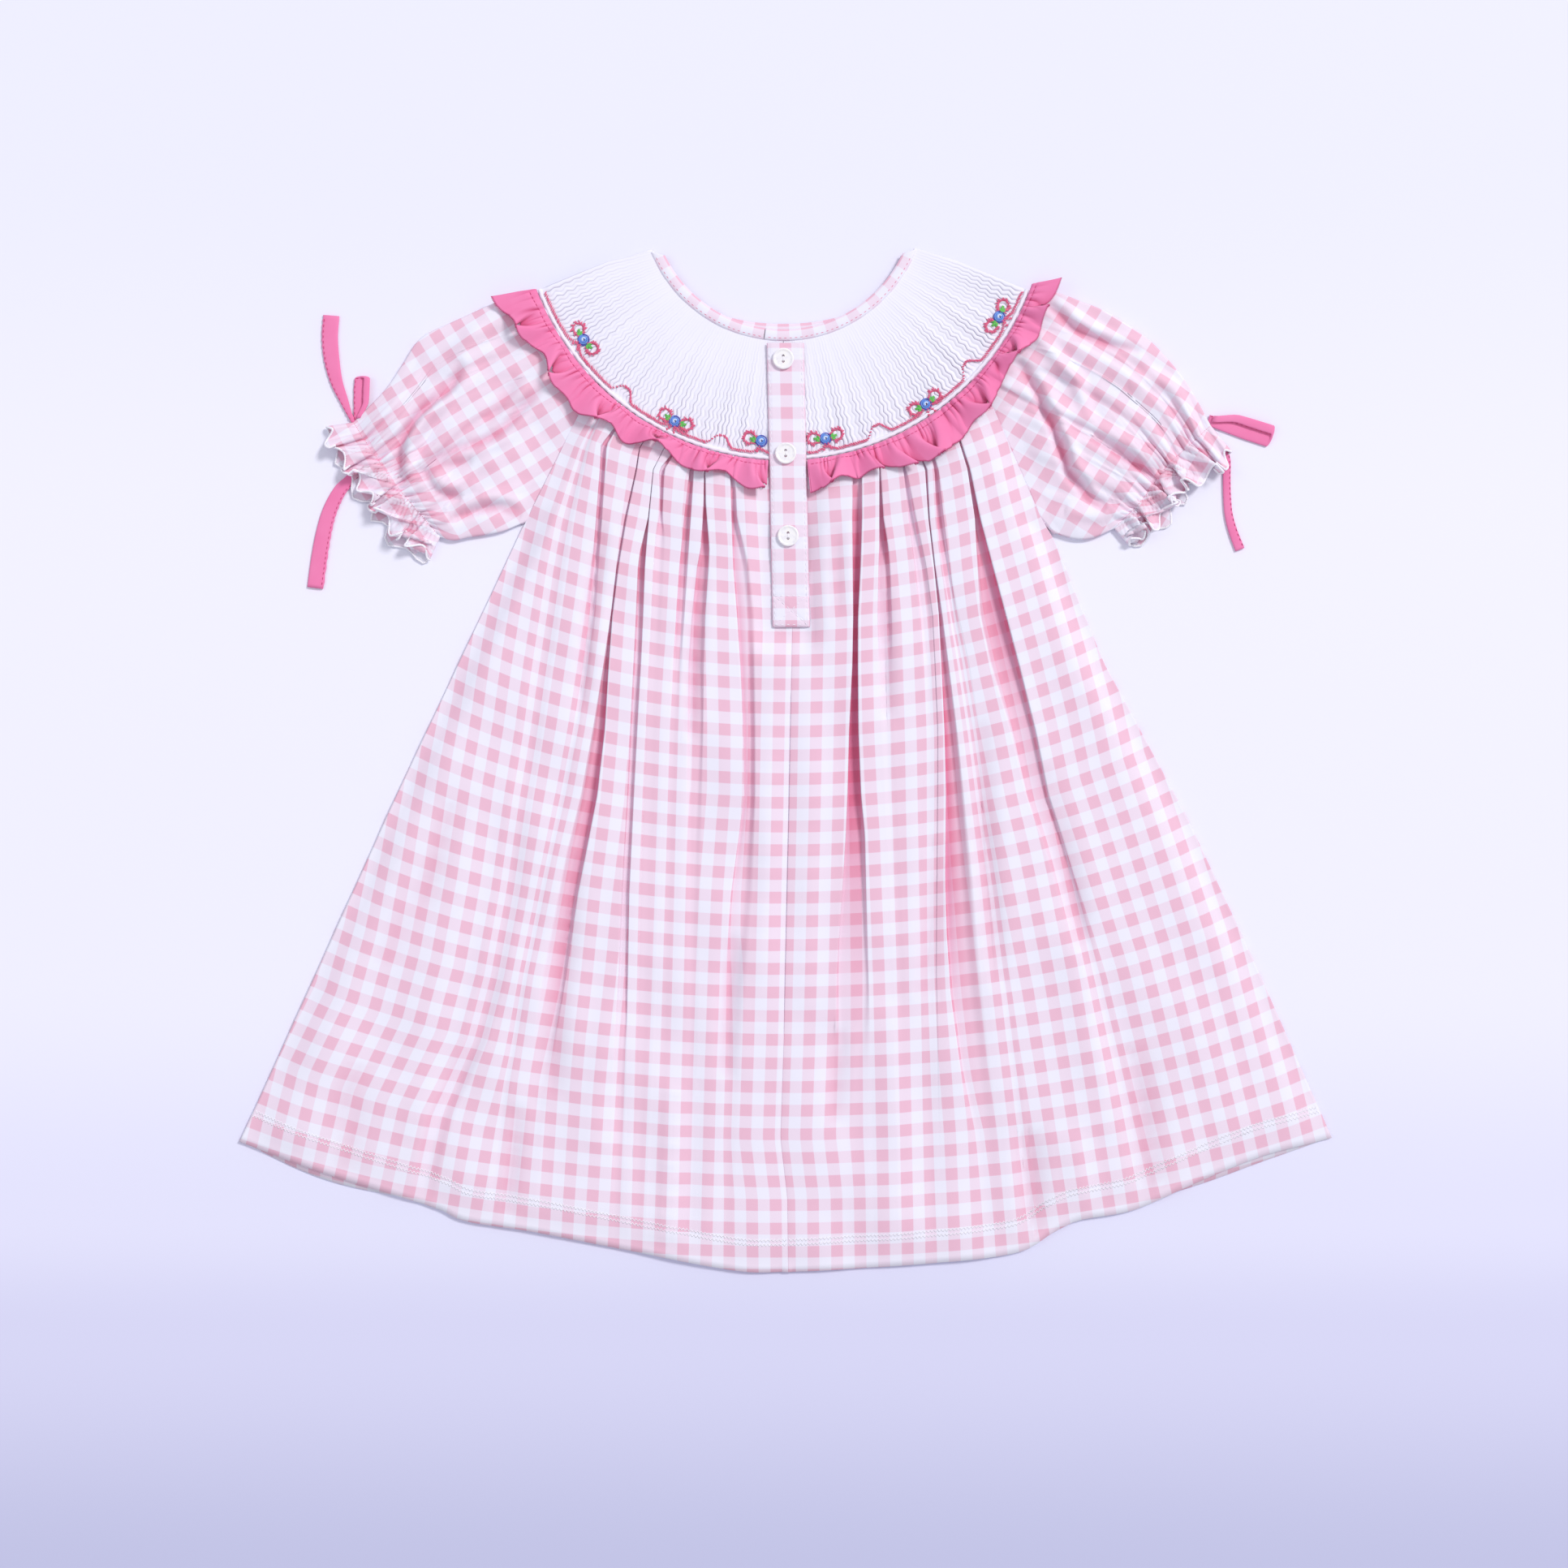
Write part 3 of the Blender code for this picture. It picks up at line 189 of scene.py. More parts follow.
# The back hangs in broad flat panels with pleat valleys sunk between them. Each valley starts at an
# angle on the yoke seam and passes, at each height, between two distances out from the middle. The
# two shares say how crisp the lip of the panel is on its inner and its outer side.
SKIRT_VALLEYS = {
    # seam angle, inner lip, outer lip, stations of y, inner distance, outer distance and depth
    "left": [
        (10.1, 0.2, 1.0, [(156.0, 27.1, 30.0, 2.6), (130.0, 25.8, 29.3, 3.4), (103.7, 19.4, 28.4, 2.6),
                          (77.5, 16.6, 26.3, 3.0), (51.0, 16.4, 24.5, 3.0), (16.0, 16.0, 22.8, 3.0),
                          (-18.8, 16.0, 22.4, 3.0), (-71.0, 17.6, 29.5, 1.7), (-115.0, 21.0, 33.0, 1.1),
                          (-172.0, 24.0, 36.0, 0.6), (-280.0, 28.0, 40.0, 0.3)]),
        (15.8, 0.9, 0.8, [(156.0, 42.9, 44.0, 2.4), (138.0, 42.6, 44.2, 3.0), (130.0, 42.0, 44.6, 3.6),
                          (114.0, 40.7, 45.7, 3.6), (103.7, 41.1, 47.8, 2.6), (77.5, 42.9, 50.6, 1.8),
                          (51.0, 43.8, 52.5, 1.6), (16.0, 44.0, 53.0, 1.3), (-40.0, 45.0, 54.0, 0.9),
                          (-115.0, 46.0, 54.0, 0.5), (-280.0, 48.0, 56.0, 0.2)]),
        (18.6, 0.4, 1.0, [(156.0, 48.9, 51.6, 2.4), (130.0, 50.6, 54.7, 3.2), (103.7, 52.4, 57.3, 2.6),
                          (77.5, 54.1, 59.0, 1.9), (51.0, 56.0, 60.5, 0.9), (16.0, 58.0, 62.5, 0.4),
                          (-115.0, 62.0, 67.0, 0.3), (-280.0, 68.0, 74.0, 0.2)]),
        (22.4, 0.8, 0.8, [(156.0, 64.8, 68.0, 2.4), (138.0, 65.6, 67.6, 1.8), (120.0, 66.4, 68.0, 0.7),
                          (51.0, 70.0, 72.0, 0.2), (-115.0, 74.0, 76.0, 0.2), (-280.0, 79.0, 82.0, 0.2)]),
        (25.2, 1.0, 0.6, [(156.0, 70.5, 71.3, 2.4), (130.0, 73.0, 74.0, 3.0), (112.0, 74.6, 78.3, 4.0),
                          (103.7, 75.2, 79.4, 4.0), (77.5, 76.2, 80.6, 2.8), (51.0, 77.4, 81.8, 2.4),
                          (16.0, 79.4, 83.6, 2.3), (-18.8, 81.2, 85.2, 2.3), (-71.0, 83.6, 88.0, 2.3),
                          (-115.0, 84.4, 90.0, 1.7), (-150.0, 85.4, 92.0, 1.0), (-280.0, 88.0, 96.0, 0.2)]),
        (29.6, 1.0, 0.3, [(167.0, 78.0, 79.0, 2.4), (156.0, 79.4, 80.6, 2.6), (130.0, 84.9, 86.6, 2.2),
                          (103.7, 89.3, 91.0, 2.2), (77.5, 92.6, 94.1, 2.8), (51.0, 94.5, 97.9, 4.0),
                          (16.0, 96.7, 103.8, 4.6), (-18.8, 100.7, 110.2, 4.6), (-50.0, 106.8, 118.0, 3.6),
                          (-71.0, 111.0, 122.0, 2.8), (-115.0, 117.6, 131.0, 1.6),
                          (-172.0, 126.0, 139.0, 0.7), (-280.0, 136.0, 150.0, 0.3)]),
        (36.0, 0.6, 0.5, [(169.0, 95.8, 99.3, 3.0), (156.0, 96.5, 99.9, 3.0), (130.0, 98.3, 101.9, 3.0),
                          (112.0, 99.6, 103.4, 2.4), (103.7, 100.2, 104.4, 1.7), (77.5, 102.0, 107.3, 1.1),
                          (51.0, 105.0, 110.5, 0.7), (16.0, 110.0, 116.0, 0.5), (-18.8, 117.0, 123.0, 0.4),
                          (-71.0, 129.0, 134.0, 0.4), (-115.0, 138.0, 143.0, 0.5),
                          (-172.0, 147.0, 153.0, 0.5), (-280.0, 158.0, 166.0, 0.4)]),
        (41.4, 0.0, 0.0, [(169.0, 104.5, 111.0, 1.0), (156.0, 107.0, 116.0, 1.2), (130.0, 112.5, 125.0, 1.3),
                          (103.7, 116.5, 130.5, 1.2), (77.5, 120.0, 134.5, 1.1), (51.0, 124.0, 138.5, 1.1),
                          (16.0, 128.5, 143.0, 1.1), (-18.8, 133.5, 148.5, 1.1), (-71.0, 140.0, 156.0, 1.4),
                          (-115.0, 148.0, 164.0, 1.9), (-150.0, 158.0, 173.5, 2.4),
                          (-190.0, 177.0, 193.5, 2.4), (-260.0, 194.0, 210.0, 1.6)]),
    ],
    "right": [
        (15.0, 1.0, 1.0, [(156.0, 35.8, 41.0, 3.2), (130.0, 35.4, 41.1, 3.8), (103.7, 35.6, 40.3, 4.2),
                          (77.5, 35.9, 39.0, 4.2), (51.0, 35.4, 38.9, 4.4), (16.0, 33.7, 39.2, 4.6),
                          (-18.8, 32.8, 40.6, 4.4), (-40.0, 31.9, 42.6, 3.6), (-71.0, 30.0, 43.3, 2.6),
                          (-115.0, 27.0, 44.5, 1.6), (-172.0, 26.0, 46.0, 0.8), (-280.0, 25.0, 48.0, 0.3)]),
        (20.6, 1.0, 1.0, [(156.0, 49.9, 51.0, 2.4), (130.0, 49.9, 52.6, 3.6), (114.6, 49.9, 55.1, 3.8),
                          (103.7, 49.4, 56.0, 2.6), (77.5, 49.0, 57.0, 1.7), (51.0, 49.5, 57.5, 0.8),
                          (16.0, 51.0, 58.5, 0.4), (-115.0, 57.0, 65.0, 0.3), (-280.0, 60.0, 68.0, 0.2)]),
        (24.6, 0.6, 0.3, [(156.0, 62.8, 64.8, 2.4), (130.0, 65.6, 70.0, 2.8), (103.7, 68.8, 75.6, 2.2),
                          (77.5, 71.6, 79.0, 1.4), (51.0, 73.0, 80.0, 0.7), (16.0, 74.5, 81.0, 0.3),
                          (-115.0, 73.0, 80.0, 0.2), (-280.0, 75.0, 84.0, 0.2)]),
        (28.4, 1.0, 0.2, [(156.0, 74.4, 76.1, 2.8), (130.0, 76.1, 77.4, 3.0), (103.7, 79.2, 80.4, 2.8),
                          (77.5, 81.8, 84.2, 3.2), (51.0, 83.1, 87.6, 3.8), (16.0, 84.7, 92.0, 4.4),
                          (-18.8, 85.5, 95.6, 4.4), (-62.0, 85.2, 100.0, 4.0), (-93.0, 86.0, 102.5, 3.4),
                          (-124.0, 88.0, 105.5, 2.4), (-155.0, 92.0, 109.0, 1.6), (-200.0, 98.0, 115.0, 0.9),
                          (-280.0, 103.0, 122.0, 0.3)]),
        (31.6, 0.8, 0.6, [(156.0, 79.4, 82.0, 2.8), (130.0, 80.6, 84.8, 3.0), (103.7, 83.6, 88.2, 1.6),
                          (77.5, 88.0, 91.5, 0.9), (51.0, 92.5, 96.0, 0.4), (16.0, 98.0, 101.0, 0.3),
                          (-18.8, 103.0, 106.0, 0.3), (-71.0, 110.0, 114.0, 0.3), (-115.0, 115.0, 119.0, 0.3),
                          (-172.0, 121.0, 126.0, 0.3), (-280.0, 131.0, 137.0, 0.3)]),
        (37.4, 0.4, 1.0, [(171.0, 92.5, 94.0, 2.6), (156.0, 97.1, 99.0, 3.2), (130.0, 101.1, 104.3, 4.6),
                          (103.7, 102.4, 111.2, 5.0), (77.5, 103.8, 118.2, 4.6), (51.0, 109.5, 125.2, 4.0),
                          (16.0, 120.0, 133.9, 3.0), (-18.8, 128.5, 141.0, 2.4), (-46.0, 138.0, 150.0, 1.5),
                          (-115.0, 158.0, 172.0, 0.7), (-203.0, 178.0, 194.0, 0.8),
                          (-260.0, 192.0, 208.0, 0.8)]),
    ],
}
# Soft creases in the panels: points of the route, half width, and height, below 0 for a trough.
SKIRT_CREASES = {
    "left": [
        ([(-27.6, -93.0), (-31.1, -128.0), (-32.8, -172.0)], 5.0, -1.0),
        ([(-88.8, -105.0), (-97.6, -158.8), (-102.0, -212.0)], 9.0, 0.9),
        ([(-113.0, -50.0), (-120.8, -115.0), (-126.0, -182.0)], 6.0, -1.1),
        ([(-165.4, -10.0), (-178.5, -84.5), (-191.7, -150.1), (-204.8, -236.0)], 8.0, 1.0),
        ([(-226.7, -105.0), (-248.6, -172.0), (-266.0, -212.0)], 9.0, 0.9),
        ([(-176.0, -20.0), (-196.0, -71.3), (-215.0, -112.0)], 5.0, -0.9),
        ([(-60.4, -170.0), (-63.9, -262.0)], 7.0, 1.0),
        ([(-143.5, -184.0), (-150.0, -246.0)], 6.0, -1.0),
        ([(-46.4, 108.0), (-49.4, 60.0), (-51.6, 10.0)], 4.0, -1.0),
        ([(-98.0, 130.0), (-105.5, 77.5), (-111.0, 25.0)], 4.0, -1.1),
        ([(-8.0, 40.0), (-10.0, -60.0), (-12.0, -150.0)], 7.0, 0.6),
        ([(-230.0, -160.0), (-238.0, -222.0)], 6.0, -0.9),
    ],
    "right": [
        ([(26.8, 130.0), (28.0, 74.0)], 3.5, -0.8),
        ([(27.5, -140.0), (26.0, -196.0)], 5.0, -0.8),
        ([(53.0, 95.0), (54.5, 20.0)], 4.0, -0.9),
        ([(103.0, 24.0), (107.0, -50.0), (113.0, -122.0)], 6.0, -1.0),
        ([(138.0, 0.0), (154.0, -71.0), (158.0, -100.0)], 6.0, -1.0),
        ([(150.0, -82.0), (162.8, -141.0), (176.0, -206.0)], 9.0, 0.9),
        ([(130.0, -196.0), (134.0, -256.0)], 7.0, -1.1),
        ([(154.0, -196.0), (161.0, -244.0)], 6.0, 1.0),
        ([(186.0, -150.0), (199.0, -232.0)], 8.0, -1.0),
        ([(208.0, -118.0), (244.0, -205.0)], 9.0, 0.9),
        ([(57.0, -128.0), (60.4, -202.6), (61.5, -258.0)], 8.0, 0.9),
        ([(12.0, 50.0), (13.0, -40.0), (11.0, -140.0)], 7.0, 0.6),
        ([(84.0, -40.0), (74.0, -130.0)], 8.0, -0.7),
    ],
}
# Height of the panels above the lining side, at shares of the way from the yoke to the hem.
PANEL_AT, PANEL_HIGH = (0.0, 0.1, 0.6, 0.8, 1.0), (1.2, 4.4, 4.6, 3.2, 1.8)
PANEL_STEPS, WALL_STEPS, VALLEY_STEPS = 14, 6, 6
LIP_RISE, LIP_REACH, PANEL_DOME = 0.9, 9.0, 0.5
FULL_DEPTH = 4.4
SHALLOW, SHALLOW_WIDE, SEAM_SHARE = 1.6, 9.0, 0.1
SIDE_LOW, SIDE_REACH = 0.2, 16.0
OPEN_SIDE_Y, OPEN_SIDE_EASE = 122.0, 16.0
EDGE_Z, HEM_EASE, HEM_SETTLE = 1.25, 0.05, 0.8
PLACKET_REACH, PLACKET_EASE = 12.0, 9.0
SAG_LEVELS, CHECK_SAGS = (-230.0, -50.0, 60.0), (0.145, 0.19, 0.22)
ALLOWANCE, ALLOWANCE_DROP = 1.3, 1.1
CHECK_U = {"left": -6.3, "right": -1.0}
CHECK_V = -129.6
HEM_BAND = 16.0
SKIRT_LENGTH = 460.0
# A valley at the seam, the depth from which it counts as sunk, and its walls: how wide a soft one is,
# how much narrower a crisp one, and how far a crisp lip hangs over.
VALLEY_HALF, VALLEY_START = 0.4, 1.0
SUNK_FROM = 0.5
WALL_WIDE, WALL_CRISP, OVERHANG = 0.48, 0.34, 0.38
SOFT_WALL_SHADE = 0.25
DOME_FULL = 20.0
HOLLOW_SHARE = 0.35
# The placket presses the skirt flat, down to this y.
PRESSED_Y, PRESSED_EASE, PRESSED = 52.0, 18.0, 0.92
# Small gathers under the yoke seam, then slow ripples: height, size and seed.
GATHER_HIGH, GATHER_TURNS, GATHER_REACH = 0.2, 130.0, 22.0
SKIRT_RIPPLES, RIPPLE_REACH = ((0.4, 46.0, 11), (0.5, 95.0, 12)), 60.0
SEAM_DROP, SEAM_DROP_REACH = 0.7, 6.0
HEM_THICK, HEM_FOLD_EASE = 0.3, 1.2
CENTRE_SUNK, CENTRE_WIDE, CENTRE_DARK, CENTRE_DARK_WIDE = 0.22, 0.9, 0.08, 0.6
SIDE_SUNK, SIDE_WIDE, SIDE_SEWN_Y = 0.3, 1.2, 118.0
BACK_LOWEST = 1.15
SKIRT_CREASE_STRENGTH = 2.1


def polar(radius, degrees):
    """Point at a radius from the middle of the neck and an angle from straight down."""
    angle = np.radians(degrees)
    return np.stack([NECK_X + radius * np.sin(angle), NECK_Y - radius * np.cos(angle)], -1)


def runs(line):
    """Length of a line up to each of its points."""
    return np.concatenate([[0.0], np.cumsum(np.linalg.norm(np.diff(line, axis=0), axis=1))])


def at_run(values, run, spots):
    """Each column of a line's values, at lengths along it."""
    return np.stack([np.interp(spots, run, values[:, axis]) for axis in range(values.shape[1])], -1)


def along(points, fraction, axes=2):
    """Point at a fraction of the length of a line, measured flat or, with 3 axes, in space."""
    line = np.asarray(points, float)
    run = runs(line[:, :axes])
    return at_run(line, run, np.asarray(fraction) * run[-1])


def falling(gap, reach):
    """1 where a gap is 0, dying away over a reach."""
    return np.exp(-gap / reach)


def hump(gap, width):
    """1 where a gap is 0, falling away smoothly on both sides."""
    return np.exp(-(gap / width) ** 2)


def rounded(points, steps=12):
    """The same line with its corners rounded, as a smooth curve through its points."""
    line = np.asarray(points, float)
    padded = np.vstack([2 * line[0] - line[1], line, 2 * line[-1] - line[-2]])
    out = []
    for first in range(len(line) - 1):
        p0, p1, p2, p3 = padded[first:first + 4]
        for f in np.arange(steps) / steps:
            out.append(0.5 * (2 * p1 + (p2 - p0) * f + (2 * p0 - 5 * p1 + 4 * p2 - p3) * f ** 2
                              + (3 * p1 - p0 - 3 * p2 + p3) * f ** 3))
    out.append(line[-1])
    return np.array(out)


def patch(start, end, near, far, u, v):
    """Surface between four edges: start and end at v 0 and 1, near and far at u 0 and 1."""
    flat = (1 - v) * start(u) + v * end(u)
    near_gap = near(v) - ((1 - v) * start(0.0) + v * end(0.0))
    far_gap = far(v) - ((1 - v) * start(1.0) + v * end(1.0))
    share = np.asarray(u)[..., None]
    return flat + (1 - share) ** 2 * near_gap + share ** 2 * far_gap


def lift(x, y, low, high):
    """Height of a wall that rises over the front ruffle near the yoke."""
    return np.interp(np.hypot(x - NECK_X, y - NECK_Y), (RUFFLE_REACH, RUFFLE_RAMP), (high, low))


# Shape of one fold: a strip whose slope swings up to an angle and back down. A larger angle makes it
# taller and narrower. The tables give width and height, for a strip 1 long, for each angle.
SWINGS = np.linspace(0.0, 2.05, 42)
STRIP = np.linspace(0.0, 1.0, 65)


def swing_curve(swing):
    slope = swing * np.sin(2 * math.pi * STRIP)
    middle = (slope[1:] + slope[:-1]) / 2
    run = np.concatenate([[0.0], np.cumsum(np.cos(middle) * STRIP[1])])
    rise = np.concatenate([[0.0], np.cumsum(np.sin(middle) * STRIP[1])])
    return run, rise


SWING_RUN = np.array([swing_curve(swing)[0][-1] for swing in SWINGS])
SWING_RISE = np.array([swing_curve(swing)[1].max() for swing in SWINGS])
FULL_POCKET = 5.0
POCKET_REACH = 4.5
SWELL = 0.15
TILE_REACH = 17.0


def eased(share):
    """A smooth step from 0 to 1."""
    share = np.clip(share, 0.0, 1.0)
    return share * share * (3.0 - 2.0 * share)


def pleated_row(length, folds, fold_steps, flat_steps, swell=0.0, tile=0.0):
    """Cross-section of a pleated row, with the same columns each time.

    Each fold is (place, footprint, height, lean). Gives the place and height of each column, the
    cloth used up to it, and how deep it lies in a fold's pocket. Between folds the cloth swells a
    little, and on a fold's easy side it rises to the lip like a roof tile, both as a share of the
    fold's height."""
    spots = np.array([fold[0] for fold in folds])
    room = np.diff(np.concatenate([[0.0], spots, [length]]))
    room[1:-1] /= 2
    feet = np.minimum([fold[1] for fold in folds], 1.9 * np.minimum(room[:-1], room[1:]))
    tall = np.array([fold[2] for fold in folds]) * np.clip((feet - 2.4) / 2.4, 0.0, 1.0)
    leans = np.array([fold[3] for fold in folds])
    share = np.arange(1, fold_steps + 1) / fold_steps
    steps = np.arange(1, flat_steps + 1) / flat_steps
    place, height = [np.zeros(1)], [np.zeros(1)]
    begin, last_top = 0.0, 0.0
    for spot, foot, top, lean in zip(spots, feet, tall, leans):
        flat_end = spot - foot / 2
        place.append(begin + (flat_end - begin) * steps)
        crown = min(swell * (last_top + top) / 2, 0.14 * (flat_end - begin))
        last_top = top
        swing = np.interp(top / foot, SWING_RISE / SWING_RUN, SWINGS)
        run, rise = swing_curve(swing)
        scale = foot / run[-1]
        up = scale * np.interp(share, STRIP, rise)
        place.append(flat_end + scale * np.interp(share, STRIP, run) + lean * up)
        height += [crown * np.sin(math.pi * steps), up]
        begin = spot + foot / 2
    place.append(begin + (length - begin) * steps)
    height.append(swell * last_top / 2 * np.sin(math.pi * steps))
    place, height = np.concatenate(place), np.concatenate(height)
    used = runs(np.column_stack([place, height]))
    # The pocket share marks the low cloth just past each fold's lip: it carries painted shade, and in the ruffle
    # it also draws that cloth back.
    pocket = np.zeros(len(place))
    column = np.arange(len(place))
    for number, (spot, foot, top, lean) in enumerate(zip(spots, feet, tall, leans)):
        way = math.copysign(1.0, lean)
        crown_column = number * (flat_steps + fold_steps) + flat_steps + fold_steps // 2
        beyond_lip = (place - spot) * way - max(foot / 2, abs(lean) * top)
        near = np.exp(-np.clip(beyond_lip, 0.0, None) / POCKET_REACH)
        near = near * (height < 0.4 * top + 0.3) * ((column - crown_column) * way > 0)
        pocket = np.maximum(pocket, near * min(1.0, top / FULL_POCKET) ** 1.5)
    for number, (spot, foot, top, lean) in enumerate(zip(spots, feet, tall, leans)):
        first = 1 + number * (flat_steps + fold_steps) + flat_steps
        last = first + fold_steps
        if lean > 0:
            height[:first] += tile * top * eased((place[:first] - spot + foot / 2 + TILE_REACH) / TILE_REACH)
            height[first:last] += tile * top * (1.0 - eased(2.0 * share - 1.0))
        else:
            height[last:] += tile * top * eased((spot + foot / 2 + TILE_REACH - place[last:]) / TILE_REACH)
            height[first:last] += tile * top * eased(2.0 * share)
    return place, height, used, pocket


def on_line(line, spots, height):
    """Points over a flat line: a place along it and a height above it."""
    flat = along(line, np.clip(spots, 0.0, None) / runs(line)[-1])
    return np.column_stack([flat, height])


# The ridge beside a trough, as shares of the trough's own height and width, and the trough's shade.
BESIDE, BESIDE_AT, BESIDE_WIDE = 0.5, 1.7, 1.2
CREASE_PAINTED_SHADE, CREASE_NARROW = 0.14, 1.2


def crease(points, table, depth, strength):
    """Sink or raise points along soft creases, each trough with a low ridge beside it and painted shade in it."""
    for route, width, rise in table:
        line = rounded(route, 10)
        flow = np.gradient(line, axis=0)
        gaps = points[..., None, :2] - line
        nearest = np.linalg.norm(gaps, axis=-1).argmin(-1)
        gap = np.take_along_axis(gaps, nearest[..., None, None], -2)[..., 0, :]
        hand = np.sign(flow[nearest][..., 0] * gap[..., 1] - flow[nearest][..., 1] * gap[..., 0])
        off = hand * np.linalg.norm(gap, axis=-1) / width
        fade = strength * rise * np.sin(math.pi * nearest / (len(line) - 1)) ** 0.5
        points[..., 2] += fade * (hump(off, 1.0) - BESIDE * hump(off - BESIDE_AT, BESIDE_WIDE))
        # Painted shade darkens each trough.
        depth += CREASE_PAINTED_SHADE * np.clip(-fade, 0.0, None) * hump(off * CREASE_NARROW, 1.0)


def ripple(x, y, size, seed):
    """A slow uneven rise and fall, between about -1 and 1."""
    draw = np.random.default_rng(seed)
    total = 0.0
    for _ in range(5):
        turn = draw.uniform(0, 2 * math.pi)
        pitch = size * draw.uniform(0.7, 1.6)
        total = total + np.sin((x * math.cos(turn) + y * math.sin(turn)) * 2 * math.pi / pitch
                               + draw.uniform(0, 2 * math.pi))
    return total / 3


def shell(name, points, finish, cloth=None, depth=None, closed=False, thick=CLOTH_THICK):
    """A thin shell of cloth on a grid of middle points, with its place in the cloth as a UV map."""
    down = points[1:, :-1] - points[:-1, :-1]
    across = points[:-1, 1:] - points[:-1, :-1]
    upper = slice(0, across.shape[1] // 2) if closed else slice(None)
    if np.cross(across, down)[:, upper, 2].sum() < 0:
        points = points[::-1]
        cloth = None if cloth is None else cloth[::-1]
        depth = None if depth is None else depth[::-1]
    rows, columns = points.shape[:2]
    bm = bmesh.new()
    bmesh.ops.create_grid(bm, x_segments=columns - 1, y_segments=rows - 1, size=0.5)
    mesh = mesh_from(bm, name)
    flat = np.empty(len(mesh.vertices) * 3, np.float32)
    mesh.vertices.foreach_get("co", flat)
    row = np.rint((flat[1::3] + 0.5) * (rows - 1)).astype(int)
    column = np.rint((flat[0::3] + 0.5) * (columns - 1)).astype(int)
    mesh.vertices.foreach_set("co", (points[row, column] * MM).astype(np.float32).ravel())
    # The depth attribute is the share of painted shade that each point gets.
    if depth is not None:
        mesh.attributes.new("depth", "FLOAT", "POINT")
        mesh.attributes["depth"].data.foreach_set("value", depth[row, column].astype(np.float32))
    if cloth is not None:
        corner = np.empty(len(mesh.loops), np.int32)
        mesh.loops.foreach_get("vertex_index", corner)
        spots = cloth[row[corner], column[corner]] / CHECK
        mesh.uv_layers.new(name="cloth").uv.foreach_set("vector", spots.astype(np.float32).ravel())
    if closed:
        bm = bmesh.new()
        bm.from_mesh(mesh)
        bmesh.ops.remove_doubles(bm, verts=bm.verts[:], dist=0.001 * MM)
        bm.to_mesh(mesh)
        bm.free()
    mesh.shade_smooth()
    mesh.materials.append(finish)
    piece = link_piece(f"{name}_cloth", mesh)
    wall = piece.modifiers.new("thickness", "SOLIDIFY")
    wall.thickness = thick * MM
    wall.offset = 0.0
    return piece


def dress_piece(piece, node):
    """The piece stands for its solid and moves with the dress."""
    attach(piece, "root")
    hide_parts(node)


# Knit group: fine wales with a little unevenness, as a height and a mask of tone.
knit = bpy.data.node_groups.new("knit", "ShaderNodeTree")
for label, kind, default in (("Pitch", "NodeSocketFloat", 0.6), ("Unevenness", "NodeSocketFloat", 0.4)):
    knit.interface.new_socket(label, in_out="INPUT", socket_type=kind).default_value = default
for label in ("Height", "Tone"):
    knit.interface.new_socket(label, in_out="OUTPUT", socket_type="NodeSocketFloat")
entry = knit.nodes.new("NodeGroupInput")
leave = knit.nodes.new("NodeGroupOutput")
spot = knit.nodes.new("ShaderNodeTexCoord")
grain = knit.nodes.new("ShaderNodeTexNoise")
grain.inputs["Detail"].default_value = 2.0
size = knit.nodes.new("ShaderNodeMath")
size.operation = "DIVIDE"
size.inputs[0].default_value = 1000.0
blotch = knit.nodes.new("ShaderNodeTexNoise")
blotch.inputs["Scale"].default_value = 45.0
blotch.inputs["Detail"].default_value = 3.0
blend = knit.nodes.new("ShaderNodeMix")
knit.links.new(entry.outputs["Pitch"], size.inputs[1])
knit.links.new(size.outputs[0], grain.inputs["Scale"])
knit.links.new(spot.outputs["Object"], grain.inputs["Vector"])
knit.links.new(spot.outputs["Object"], blotch.inputs["Vector"])
knit.links.new(entry.outputs["Unevenness"], blend.inputs["Factor"])
knit.links.new(grain.outputs["Fac"], blend.inputs["A"])
knit.links.new(blotch.outputs["Fac"], blend.inputs["B"])
knit.links.new(blend.outputs["Result"], leave.inputs["Height"])
knit.links.new(blotch.outputs["Fac"], leave.inputs["Tone"])


def add_knit(nodes, links, shader, pitch, unevenness, strength, height):
    """Give a material the knit's relief, and hand back the group for its tone."""
    group = nodes.new("ShaderNodeGroup")
    group.node_tree = knit
    group.inputs["Pitch"].default_value = pitch
    group.inputs["Unevenness"].default_value = unevenness
    bump = nodes.new("ShaderNodeBump")
    bump.inputs["Strength"].default_value = strength
    bump.inputs["Distance"].default_value = height * MM
    links.new(group.outputs["Height"], bump.inputs["Height"])
    links.new(bump.outputs["Normal"], shader.inputs["Normal"])
    return group


def mixed(nodes, links, factor, first, second, blend_type="MIX"):
    """A colour mix. Each input is a socket, or a value set on the mix itself."""
    mix = nodes.new("ShaderNodeMix")
    mix.data_type = "RGBA"
    mix.blend_type = blend_type
    for socket, value in ((mix.inputs[0], factor), (mix.inputs[6], first), (mix.inputs[7], second)):
        if isinstance(value, bpy.types.NodeSocket):
            links.new(value, socket)
        else:
            socket.default_value = value
    return mix.outputs[2]


def paint_fold_shade(nodes, links, shader, plain, deep):
    """Paint shade into a cloth's folds: from its plain tone to a deep one as its depth attribute rises."""
    pocket = nodes.new("ShaderNodeAttribute")
    pocket.attribute_name = "depth"
    links.new(mixed(nodes, links, pocket.outputs["Fac"], plain, deep), shader.inputs["Base Color"])


